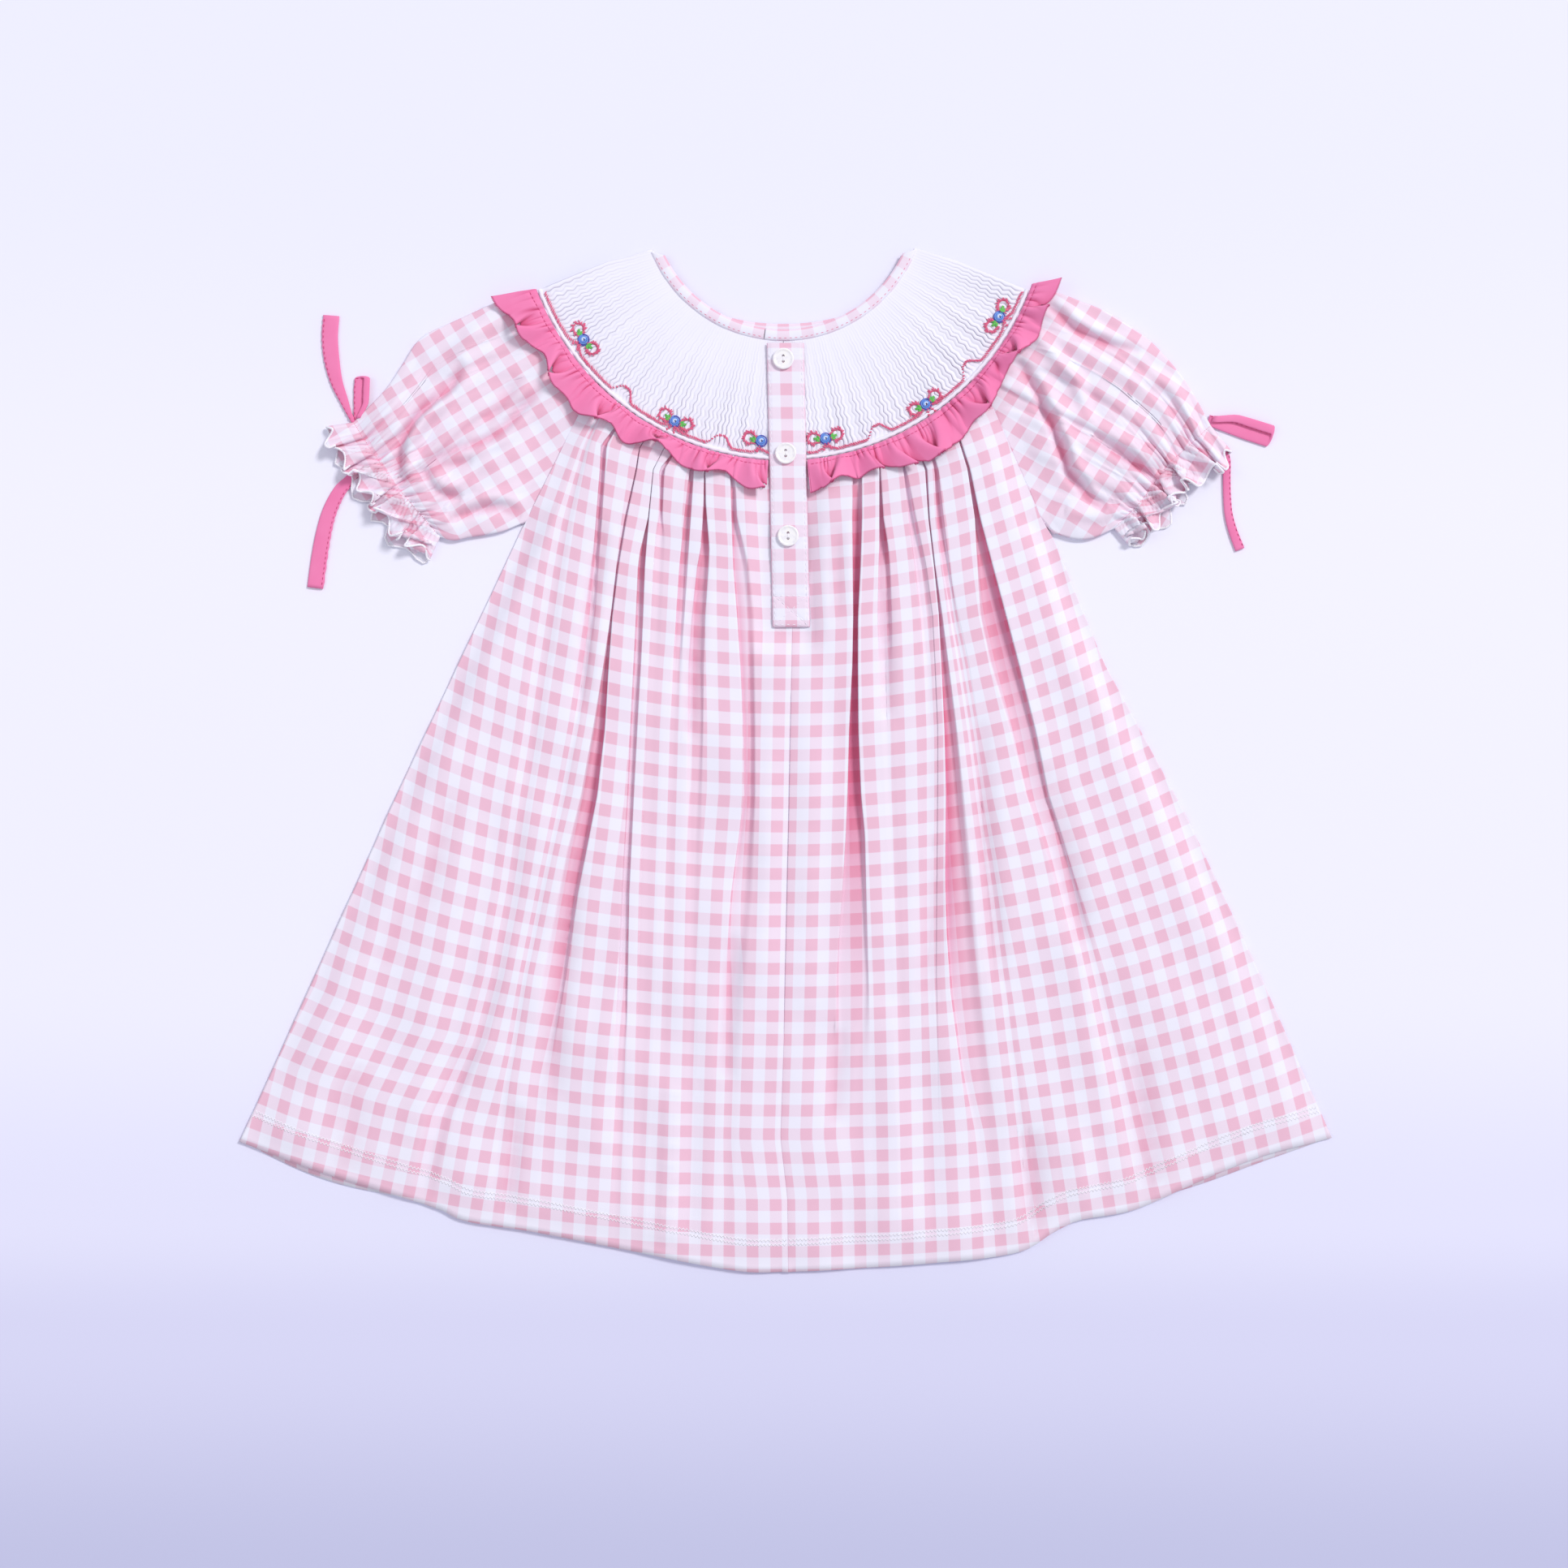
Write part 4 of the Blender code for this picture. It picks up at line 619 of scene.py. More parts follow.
gingham, nodes, links, shader = new_material("gingham jersey", 0.85)
shader.inputs["Specular IOR Level"].default_value = 0.25
shader.inputs["Sheen Weight"].default_value = 0.15
shader.inputs["Sheen Roughness"].default_value = 0.5
cloth_map = nodes.new("ShaderNodeUVMap")
cloth_map.uv_map = "cloth"
axes = nodes.new("ShaderNodeSeparateXYZ")
links.new(cloth_map.outputs["UV"], axes.inputs[0])
stripes = []
for axis in "XY":
    # Distance from the nearest stripe's middle, in repeats, turned into a stripe with printed edges.
    wave = nodes.new("ShaderNodeMath")
    wave.operation = "PINGPONG"
    wave.inputs[1].default_value = 0.5
    stripe = nodes.new("ShaderNodeMapRange")
    stripe.interpolation_type = "SMOOTHSTEP"
    stripe.inputs["From Min"].default_value = 0.23
    stripe.inputs["From Max"].default_value = 0.27
    stripe.inputs["To Min"].default_value = 0.5
    stripe.inputs["To Max"].default_value = 0.0
    links.new(axes.outputs[axis], wave.inputs[0])
    links.new(wave.outputs[0], stripe.inputs["Value"])
    stripes.append(stripe.outputs["Result"])
ink = nodes.new("ShaderNodeMath")
ink.operation = "ADD"
links.new(stripes[0], ink.inputs[0])
links.new(stripes[1], ink.inputs[1])
tones = colour_ramp(nodes, [(0.0, CHECK_WHITE), (0.5, CHECK_MID), (1.0, CHECK_DARK)])
links.new(ink.outputs[0], tones.inputs["Fac"])
group = add_knit(nodes, links, shader, 0.5, 0.5, 0.35, 0.12)
worn = mixed(nodes, links, group.outputs["Tone"], (0.97, 0.97, 0.98, 1.0), (1.0, 1.0, 1.0, 1.0))
cleaned = mixed(nodes, links, 1.0, tones.outputs["Color"], worn, "MULTIPLY")
# Painted shade: the check darkened by the pocket tone where the depth attribute is high.
deep = mixed(nodes, links, 1.0, cleaned, screen(*POCKET_PAINTED_SHADE), "MULTIPLY")
paint_fold_shade(nodes, links, shader, cleaned, deep)


def skirt_layout(side, u, v):
    """Flat place of a skirt point: u from the centre seam to the side, v from the yoke to the hem."""
    sign = -1 if side == "left" else 1
    gap = np.array([sign * SEWN_GAP, 0.0])
    centre = np.vstack([polar(SKIRT_R, 0.0), CENTRE_SEAM])
    edge = np.vstack([polar(SKIRT_R, sign * RAGLAN_DEG), SIDE[side]])
    return patch(lambda f: polar(SKIRT_R, sign * RAGLAN_DEG * np.asarray(f)),
                 lambda f: along(rounded(HEM[side]), f),
                 lambda f: along(centre, f) + gap,
                 lambda f: along(edge, f), u, v)


def check_place(x, y, used, u_start):
    """Place in the cloth, with the rows of the check bowed as the skirt flares."""
    side_reach = np.maximum(141.0 + 0.458 * (126.0 - y), 110.0)
    sag = np.interp(y, SAG_LEVELS, CHECK_SAGS)
    return np.stack([used + u_start, y - sag * x ** 2 / side_reach + CHECK_V], -1)


def valley_edges(side, v):
    """Where a row's line runs, and each valley's inner edge, outer edge and depth along it."""
    sign = -1 if side == "left" else 1
    line = skirt_layout(side, np.linspace(0.0, 1.0, 161), v)
    run = runs(line)
    edges = []
    for degrees, _, _, stations in SKIRT_VALLEYS[side]:
        seam_x, seam_y = polar(SKIRT_R, sign * degrees)
        seam_out = sign * seam_x
        start = (seam_y, seam_out - VALLEY_HALF, seam_out + VALLEY_HALF, VALLEY_START)
        table = np.array([start, *stations])
        # A row crosses a valley's edge where its own distance out is the edge's at that height.
        past = (sign * line[:, 0] - np.interp(-line[:, 1], -table[:, 0], table[:, at]) for at in (1, 2))
        inner, outer = (np.interp(0.0, gap, run) for gap in past)
        level = np.interp((inner + outer) / 2, run, line[:, 1])
        edges.append((inner, outer, np.interp(-level, -table[:, 0], table[:, 3])))
    # A valley that has died away is a wide soft hollow.
    softer = []
    for number, (inner, outer, depth) in enumerate(edges):
        before = edges[number - 1][1] if number else 0.0
        after = edges[number + 1][0] if number + 1 < len(edges) else run[-1]
        grow = max(0.0, SHALLOW_WIDE - outer + inner) / 2 * (1.0 - eased(depth / SHALLOW))
        grow *= min(v / SEAM_SHARE, 1.0)
        grow_in, grow_out = (min(grow, HOLLOW_SHARE * room) for room in (inner - before, after - outer))
        softer.append((inner - grow_in, outer + grow_out, depth))
    return line, run, softer


def skirt_row(side, v, threads_at):
    """One row of the back of the skirt: its points, place in the cloth and how much painted shade each gets.

    The thread along the middle of each panel is the same down the whole skirt. The cloth that a
    valley takes up is what is left between two panels."""
    line, run, edges = valley_edges(side, v)
    panel_high = np.interp(v, PANEL_AT, PANEL_HIGH)
    steps = 0.5 - 0.5 * np.cos(math.pi * np.arange(1, PANEL_STEPS + 1) / PANEL_STEPS)
    wall = np.arange(1, WALL_STEPS + 1) / WALL_STEPS
    floor = np.arange(1, VALLEY_STEPS + 1) / VALLEY_STEPS
    place, height, used, deep = [np.zeros(1)], [np.zeros(1)], [np.zeros(1)], [np.zeros(1)]
    begin, last_crisp, last_depth = 0.0, 0.0, 0.0
    ends = [edge[0] for edge in edges] + [run[-1]]
    for number, (inner, outer, depth) in enumerate(edges):
        _, crisp_in, crisp_out, _ = SKIRT_VALLEYS[side][number]
        depth = min(depth, panel_high)
        sunk = eased((depth - SUNK_FROM) / (SHALLOW - SUNK_FROM))
        crisp_in, crisp_out = crisp_in * sunk, crisp_out * sunk
        panel = begin + (inner - begin) * steps
        wide = inner - begin
        dome = PANEL_DOME * min(1.0, wide / DOME_FULL) * np.sin(math.pi * steps)
        rise = LIP_RISE * (last_crisp * last_depth * falling(panel - begin, LIP_REACH)
                           + crisp_in * depth * falling(inner - panel, LIP_REACH)) / FULL_DEPTH
        middle = 0.0 if number == 0 else (begin + inner) / 2
        place.append(panel)
        height.append(dome + rise)
        used.append(threads_at[number] + panel - middle)
        deep.append(np.zeros(PANEL_STEPS))
        gap = outer - inner
        next_middle = outer if number == len(edges) - 1 else (outer + ends[number + 1]) / 2
        spent = threads_at[number + 1] - (next_middle - outer) - used[-1][-1]
        in_wide, out_wide = ((WALL_WIDE - WALL_CRISP * crisp) * gap for crisp in (crisp_in, crisp_out))
        under_in, under_out = (OVERHANG * crisp * depth for crisp in (crisp_in, crisp_out))
        place.append(inner + in_wide * wall - under_in * np.sin(math.pi * wall))
        place.append(inner + in_wide + (gap - in_wide - out_wide) * floor)
        place.append(outer - out_wide * (1 - wall) + under_out * np.sin(math.pi * wall))
        top_in = height[-1][-1]
        top_out = LIP_RISE * crisp_out * depth / FULL_DEPTH
        height.append(top_in - (depth + top_in) * eased(wall))
        height.append(np.full(VALLEY_STEPS, -depth))
        height.append(-depth + (depth + top_out) * eased(wall))
        # The floor keeps its check, and the walls of a deep valley take the rest of the cloth.
        flat = (gap - in_wide - out_wide) * (sunk + (1.0 - sunk) * spent / gap)
        rest = max(spent - flat, 0.0)
        flat = min(flat, spent)
        first = used[-1][-1]
        share_in = (0.02 + in_wide / gap * (1.0 - sunk) + crisp_in) / (
            0.04 + (in_wide + out_wide) / gap * (1.0 - sunk) + crisp_in + crisp_out)
        used.append(first + rest * share_in * wall)
        used.append(first + rest * share_in + flat * floor)
        used.append(first + rest * share_in + flat + rest * (1 - share_in) * wall)
        # Painted shade in the valley: stronger where it is deep, and on the walls under a crisp lip.
        shade = min(1.0, depth / FULL_DEPTH) ** 1.4
        near_in, near_out = (SOFT_WALL_SHADE + (1.0 - SOFT_WALL_SHADE) * crisp
                             for crisp in (crisp_in, crisp_out))
        deep.append(shade * near_in * eased(2.5 * wall))
        deep.append(shade * (near_in + (near_out - near_in) * floor))
        deep.append(shade * near_out * eased(2.5 * (1 - wall)))
        begin, last_crisp, last_depth = outer, crisp_out, depth
    panel = begin + (run[-1] - begin) * steps
    place.append(panel)
    height.append(LIP_RISE * last_crisp * last_depth / FULL_DEPTH * falling(panel - begin, LIP_REACH))
    used.append(threads_at[-1] + panel - begin)
    deep.append(np.zeros(PANEL_STEPS))
    place, height, used, deep = (np.concatenate(part) for part in (place, height, used, deep))
    base = on_line(line, place, height)
    # The panels come down to the side seam, and lie flat under the placket.
    low = SIDE_LOW + (1.0 - SIDE_LOW) * eased((run[-1] - place) / SIDE_REACH)
    under_placket = eased((PLACKET_REACH + PLACKET_EASE - np.abs(base[:, 0])) / PLACKET_EASE)
    under_placket *= eased((base[:, 1] - PRESSED_Y) / PRESSED_EASE)
    base[:, 2] = (base[:, 2] + panel_high) * low * (1.0 - PRESSED * under_placket)
    base[:, 2] += lift(base[:, 0], base[:, 1], BACK_LOW, BACK_HIGH)
    # Below the underarm the open edge lies on the front panel, and so does the hem.
    beside_sleeve = eased((base[:, 1] - OPEN_SIDE_Y) / OPEN_SIDE_EASE)
    settle = np.maximum(eased((run[-1] - place) / SIDE_REACH), beside_sleeve)
    settle *= 1.0 - HEM_SETTLE * eased((v - 1.0 + HEM_EASE) / HEM_EASE)
    base[:, 2] = EDGE_Z + (base[:, 2] - EDGE_Z) * settle
    return base, check_place(base[:, 0], base[:, 1], used, CHECK_U[side]), deep


def panel_threads(side):
    """Place in the cloth of the thread down the middle of each panel, counted along the hem."""
    _, _, edges = valley_edges(side, 1.0)
    starts = [0.0] + [edge[1] for edge in edges]
    ends = [edge[0] for edge in edges]
    return [0.0] + [(start + end) / 2 for start, end in zip(starts[1:], ends[1:])] + [starts[-1]]


SKIRT_V = np.linspace(0.0, 1.0, 124)
back_skirt = {}
for side in ("left", "right"):
    threads_at = panel_threads(side)
    made = [skirt_row(side, v, threads_at) for v in SKIRT_V]
    points, cloth, depth = (np.array(part) for part in zip(*made))
    x, y = points[..., 0], points[..., 1]
    hem_gap = (1.0 - SKIRT_V[:, None]) * SKIRT_LENGTH
    below_seam = np.hypot(x - NECK_X, y - NECK_Y) - SKIRT_R
    crease(points, SKIRT_CREASES[side], depth, SKIRT_CREASE_STRENGTH)
    # Small gathers under the yoke seam, slow ripples, the doubled hem and the sewn edges.
    gathers = np.sin(np.arctan2(x - NECK_X, NECK_Y - y) * GATHER_TURNS + ripple(x, y, 30.0, 3))
    points[..., 2] += GATHER_HIGH * gathers * falling(below_seam, GATHER_REACH)
    slow = sum(high * ripple(x, y, size, seed) for high, size, seed in SKIRT_RIPPLES)
    points[..., 2] += slow * np.clip(below_seam / RIPPLE_REACH, 0.0, 1.0)
    points[..., 2] -= SEAM_DROP * falling(below_seam, SEAM_DROP_REACH)
    points[..., 2] += HEM_THICK / (1.0 + np.exp((hem_gap - HEM_BAND) / HEM_FOLD_EASE))
    centre_gap = np.abs(points[..., 0] - points[:, :1, 0])
    points[..., 2] -= CENTRE_SUNK * hump(centre_gap, CENTRE_WIDE)
    side_gap = np.abs(points[..., 0] - points[:, -1:, 0])
    points[..., 2] -= SIDE_SUNK * hump(side_gap, SIDE_WIDE) * (y > SIDE_SEWN_Y)
    # Painted shade darkens the cloth along the sunk centre seam.
    depth = np.clip(depth + CENTRE_DARK * hump(centre_gap, CENTRE_DARK_WIDE), 0.0, 1.0)
    points[..., 2] = np.maximum(points[..., 2], BACK_LOWEST + ALLOWANCE_DROP * (centre_gap < 2.0))
    back_skirt[side] = (points, cloth)
    if side == "left":
        # The left half's seam allowance runs on under the right half.
        points = np.concatenate([points[:, :1] + (ALLOWANCE, 0.0, -ALLOWANCE_DROP), points], axis=1)
        cloth = np.concatenate([cloth[:, :1] - (ALLOWANCE, 0.0), cloth], axis=1)
        depth = np.concatenate([depth[:, :1], depth], axis=1)
    piece = shell(f"skirt_back_{side}", points, gingham, cloth, depth)
    dress_piece(piece, f"skirt_back_{side}")

# The front of the skirt: one wide panel of the same jersey, which lies under the back with only its
# hem showing past the back's at both sides.
FRONT_PEEK, PEEK_AT, PEEK_REACH, PEEK_FROM = 3.4, 248.0, 42.0, 0.8
rows = []
for v in np.linspace(0.0, 1.0, 60):
    row = np.vstack([skirt_layout("left", np.linspace(1.0, 0.08, 40), v),
                     skirt_layout("right", np.linspace(0.08, 1.0, 40), v)])
    offset = np.abs(np.abs(row[:, 0]) - PEEK_AT)
    peek = FRONT_PEEK * np.cos(np.clip(offset / PEEK_REACH, 0.0, 1.0) * math.pi / 2)
    row[:, 1] -= peek * max(0.0, v - PEEK_FROM) / (1.0 - PEEK_FROM)
    rows.append(np.column_stack([row, lift(row[:, 0], row[:, 1], FRONT_LOW, FRONT_HIGH)]))
points = np.array(rows)
cloth = check_place(points[..., 0], points[..., 1], points[..., 0], 0.0)
piece = shell("skirt_front", points, gingham, cloth)
dress_piece(piece, "skirt_front")

# The yoke: white cotton drawn up into close pleats by rows of smocking and set into a round band,
# almost smooth at the neck, with the pleats wavering and opening towards the seam below.
HOLE_R = 70.9
BINDING_OUT = 76.6
YOKE_R = 138.7
SHOULDER_DEG = 69.3
PLEATS, PLEAT_STEPS = 66, 6
YOKE_ROWS = 80
RELIEF_NECK, RELIEF_EDGE = 0.05, 1.0
SWAY_PITCH, SWAY = 6.0, 0.8
YOKE_LOW, YOKE_RISE = 2.7, 0.6

white, nodes, links, shader = new_material("smocked cotton", 0.85)
shader.inputs["Specular IOR Level"].default_value = 0.2
group = add_knit(nodes, links, shader, 0.4, 0.25, 0.25, 0.08)
plain = mixed(nodes, links, group.outputs["Tone"], screen(240, 240, 252), screen(247, 246, 255))
# Painted shade: the pleat valleys of the white cotton darken to this lilac grey.
paint_fold_shade(nodes, links, shader, plain, screen(168, 163, 192))


def shoulder(side, radius):
    """Angle of the shoulder fold, which bows up a little between the neck and the ruffle."""
    neck, middle = (67.4, 70.0) if side == "left" else (69.0, 70.0)
    return np.interp(radius, (HOLE_R, 100.0, YOKE_R), (neck, middle, SHOULDER_DEG))


def yoke_top(radius):
    """Height of the crests of the back yoke's pleats."""
    out = np.clip((radius - BINDING_OUT) / (YOKE_R - BINDING_OUT), 0.0, 1.0)
    relief = RELIEF_NECK + (RELIEF_EDGE - RELIEF_NECK) * out ** 1.3
    return YOKE_LOW + YOKE_RISE * out + relief + CLOTH_THICK / 2


for side in ("left", "right"):
    sign = -1 if side == "left" else 1
    draw = np.random.default_rng(5 if side == "left" else 6)
    column = np.arange(PLEATS * PLEAT_STEPS + 1)
    beat = (column % PLEAT_STEPS) / PLEAT_STEPS
    crest = np.abs(np.sin(math.pi * beat)) ** 0.45
    full = np.interp(column / PLEAT_STEPS, np.arange(PLEATS + 2), draw.uniform(0.2, 1.3, PLEATS + 2))
    turns = np.arange(0, PLEATS + 4, 4)
    timing = np.interp(column / PLEAT_STEPS, turns, np.cumsum(draw.normal(0, 0.8, len(turns))))
    rows, depths = [], []
    for radius in np.linspace(BINDING_OUT - 1.5, YOKE_R + 0.8, YOKE_ROWS):
        out = np.clip((radius - BINDING_OUT) / (YOKE_R - BINDING_OUT), 0.0, 1.0)
        degrees = np.linspace(math.degrees(SEAM / 2 / radius), shoulder(side, radius), len(column))
        beat_now = 2 * math.pi * radius / SWAY_PITCH + timing
        waver = SWAY * (0.15 + 0.85 * out) * (np.sin(beat_now) - np.sin(3 * beat_now) / 9)
        waver = waver * (0.7 + 0.3 * ripple(column * 0.8, radius, 30.0, 9))
        waver *= np.clip(np.minimum(column, len(column) - 1 - column) / 12.0, 0.0, 1.0)
        degrees = degrees + np.degrees(waver / radius)
        near_seam = np.clip((YOKE_R - radius) / 3.5, 0.15, 1.0)
        relief = (RELIEF_NECK + (RELIEF_EDGE - RELIEF_NECK) * out ** 1.3) * full * near_seam
        ring = polar(radius, sign * degrees)
        height = YOKE_LOW + YOKE_RISE * out + relief * crest
        height += 0.12 * ripple(ring[:, 0], ring[:, 1], 24.0, 4)
        rows.append(np.column_stack([ring, height]))
        # Painted shade, deepest in the valleys between the pleats and growing towards the seam.
        depths.append((1.0 - crest) ** 1.3 * (0.06 + 0.94 * out ** 1.3) * np.clip(full, 0.0, 1.2) * near_seam)
    piece = shell(f"yoke_back_{side}", np.array(rows), white, depth=np.array(depths))
    dress_piece(piece, f"yoke_back_{side}")

rows = []
for radius in np.linspace(BINDING_OUT - 1.0, YOKE_R, 24):
    degrees = np.linspace(-1.0, 1.0, 241) * float(shoulder("right", radius))
    ring = polar(radius, degrees)
    crest = 0.35 * np.abs(np.sin(np.arange(241) * math.pi / 3))
    rows.append(np.column_stack([ring, 0.75 + crest * (radius - BINDING_OUT) / (YOKE_R - BINDING_OUT)]))
piece = shell("yoke_front", np.array(rows), white)
dress_piece(piece, "yoke_front")

# The piping: a white cotton cord wrapped in bias cloth and caught in the round seam below the yoke.
PIPE_R, PIPE_RING = 1.15, 140.0
PLACKET_HALF, PLACKET_SEAM_X = 9.7, 1.1


def placket_deg(side, radius):
    """Angle at which a ring reaches the edge of the placket, where the yoke seam passes under it."""
    sign = -1 if side == "left" else 1
    return math.degrees(math.asin((sign * (PLACKET_SEAM_X - NECK_X) + PLACKET_HALF + 0.8) / radius))


def threads(name, paths, radius, finish, sides=6, taper=False):
    """Round threads or cords along paths of points, each its own spline."""
    curve = bpy.data.curves.new(name, "CURVE")
    curve.dimensions = "3D"
    curve.bevel_depth = radius * MM
    curve.bevel_resolution = (sides - 4) // 2
    curve.use_fill_caps = True
    for path in paths:
        path = np.asarray(path, float)
        spline = curve.splines.new("POLY")
        spline.points.add(len(path) - 1)
        spline.points.foreach_set("co", np.column_stack([path * MM, np.ones(len(path))]).ravel())
        if taper:
            width = np.full(len(path), 1.0)
            width[[0, -1]] = 0.45
            spline.points.foreach_set("radius", width)
    curve.materials.append(finish)
    piece = link_piece(name, curve)
    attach(piece, "root")
    return piece


for name, side, height in (("piping_back_left", "left", 3.8), ("piping_back_right", "right", 3.8)):
    sign = -1 if side == "left" else 1
    degrees = sign * np.linspace(placket_deg(side, PIPE_RING) - 0.4, SHOULDER_DEG, 190)
    ring = polar(PIPE_RING + 0.12 * np.sin(np.arange(190) * 1.1), degrees)
    path = np.column_stack([ring, np.full(190, height)])
    piece = threads(f"{name}_cord", [path], PIPE_R, white, 10)
    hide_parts(name)
ring = polar(PIPE_RING, np.linspace(-SHOULDER_DEG, SHOULDER_DEG, 120))
path = np.column_stack([ring, np.full(120, 1.0)])
piece = threads("piping_front_cord", [path], 1.0, white, 8)
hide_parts("piping_front")

# The embroidery: a bow with a blue rose and green leaves at six places round the yoke, joined by a
# wavy line of pink cable stitch just above the piping, worked by hand in stranded thread.
ROSES = [(-108.5, 225.8), (-59.5, 182.0), (-13.1, 171.5), (21.4, 172.8), (75.3, 191.2), (114.7, 238.1)]
PEAKS = [(-87.5, 196.9), (-35.0, 172.0), (49.9, 176.8), (99.3, 210.5)]
ROSE_R, LOOP_R, LOOP_OUT = 2.8, 3.4, 6.4
CABLE_RING, CABLE_STEP, PEAK_HALF = 137.8, 1.15, 2.8


def thread_finish(name, tone, deep_tone):
    """Glossy cotton thread, its tone varying a little from strand to strand."""
    mat, nodes, links, shader = new_material(name, 0.55)
    shader.inputs["Specular IOR Level"].default_value = 0.35
    shader.inputs["Sheen Weight"].default_value = 0.2
    group = add_knit(nodes, links, shader, 0.35, 0.1, 0.5, 0.1)
    colour = mixed(nodes, links, group.outputs["Tone"], screen(*deep_tone), screen(*tone))
    links.new(colour, shader.inputs["Base Color"])
    return mat


pink_thread = thread_finish("pink thread", (242, 128, 164), (216, 74, 120))
blue_thread = thread_finish("blue thread", (136, 184, 248), (74, 124, 220))
deep_blue_thread = thread_finish("deep blue thread", (84, 104, 206), (52, 68, 176))
pale_blue_thread = thread_finish("pale blue thread", (236, 244, 255), (176, 206, 250))
green_thread = thread_finish("green thread", (132, 224, 110), (66, 170, 72))
white_thread = thread_finish("white thread", (255, 254, 255), (246, 243, 255))


def stitch(start, end, height=0.35):
    """One stitch laid on the yoke from point to point, arched over the pleats."""
    middle = (np.asarray(start) + np.asarray(end)) / 2
    return [(x, y, yoke_top(np.hypot(x - NECK_X, y - NECK_Y)) + over)
            for (x, y), over in ((start, -0.1), (middle, height), (end, -0.1))]


draw = np.random.default_rng(12)
bows, petals, rims, hearts, leaves = [], [], [], [], []
for rose in ROSES:
    centre = np.array(rose)
    out = centre - (NECK_X, NECK_Y)
    radius = np.hypot(*out)
    out = out / radius
    side_on = np.array([-out[1], out[0]])
    top = yoke_top(radius) + 0.35
    for hand in (-1.0, 1.0):
        middle = centre + hand * side_on * LOOP_OUT - out * 1.2
        if abs(middle[0] - 0.6) < PLACKET_HALF + 2.4:
            continue
        for turn in np.linspace(0.0, 2 * math.pi, 27)[:-1]:
            spoke = math.cos(turn) * side_on * 1.08 - math.sin(turn) * out
            swerve = turn + draw.uniform(0.1, 0.9)
            slant = math.cos(swerve) * side_on - math.sin(swerve) * out
            inner = middle + spoke * LOOP_R * draw.uniform(0.62, 0.72)
            bows.append(stitch(inner, middle + slant * LOOP_R * draw.uniform(1.1, 1.45)))
            bows.append(stitch(middle + spoke * LOOP_R * 0.9, middle + slant * LOOP_R * 0.98, 0.5))
        for share in (0.35, 0.6, 0.85):
            root = centre + (hand * side_on * 2.4 + out * 6.0) * share
            bows.append(stitch(root - side_on * 0.9, root + side_on * 0.9 + out * 0.6))
            bows.append(stitch(root + out * 0.7 - side_on * 0.5, root + out * 1.0 + side_on * 0.8))
        for tilt, length in ((0.25, 4.0), (-0.35, 3.4), (0.75, 2.8)):
            root = centre + hand * side_on * 2.4
            tip = root + (hand * side_on * math.cos(tilt) - out * math.sin(tilt)) * length
            for shift in (-0.45, 0.0, 0.45):
                side_step = out * shift
                leaves.append(stitch(root + side_step * 0.5, tip + side_step, 0.6))
    spiral = []
    for turn in np.linspace(0.0, 5.5 * math.pi, 60):
        ring_r = ROSE_R * (1.0 - 0.82 * turn / (5.5 * math.pi))
        spiral.append((*(centre + ring_r * np.array([math.cos(turn), math.sin(turn)])),
                       top + 0.9 * (1.0 - (ring_r / ROSE_R) ** 2)))
    petals.append(spiral[6:46])
    hearts.append(spiral[44:])
    circle = np.linspace(0.0, 2 * math.pi, 25)
    rims.append(np.column_stack([centre[0] + (ROSE_R + 0.15) * np.cos(circle),
                                 centre[1] + (ROSE_R + 0.15) * np.sin(circle), np.full(25, top - 0.1)]))
cables = []
peak_degs = [math.degrees(math.atan2(x - NECK_X, NECK_Y - y)) for x, y in PEAKS]
rose_degs = [math.degrees(math.atan2(x - NECK_X, NECK_Y - y)) for x, y in ROSES]
step_deg = math.degrees(CABLE_STEP / CABLE_RING)


def cable_ring(degrees):
    """Radius of the cable line, drawn inwards to a point at each peak and under each bow."""
    inward = sum(min(5.6, 8.4 * max(0.0, 1.0 - abs(degrees - peak) / PEAK_HALF)) for peak in peak_degs)
    inward += sum(2.2 * max(0.0, 1.0 - abs(degrees - rose) / 2.2) for rose in rose_degs)
    return CABLE_RING - inward


for degrees in np.arange(-SHOULDER_DEG + 1.0, SHOULDER_DEG - 1.0, step_deg):
    ahead = degrees + step_deg * 1.1
    start = polar(cable_ring(degrees) + draw.uniform(-1.0, -0.5), degrees)
    end = polar(cable_ring(ahead) + draw.uniform(0.5, 1.0), ahead)
    if abs(start[0] - 0.9) < PLACKET_HALF + 0.6:
        continue
    cables.append(stitch(start, end))
    if draw.random() < 0.6:
        cables.append(stitch(end, start + (end - start) * 0.2 + draw.uniform(-0.4, 0.4, 2), 0.5))
threads("embroidery_bows", bows, 0.4, pink_thread, taper=True)
threads("embroidery_cable", cables, 0.42, pink_thread, taper=True)
threads("embroidery_roses", petals, 0.42, blue_thread)
threads("embroidery_rose_rims", rims, 0.30, deep_blue_thread)
threads("embroidery_rose_hearts", hearts, 0.5, pale_blue_thread)
threads("embroidery_leaves", leaves, 0.42, green_thread, taper=True)

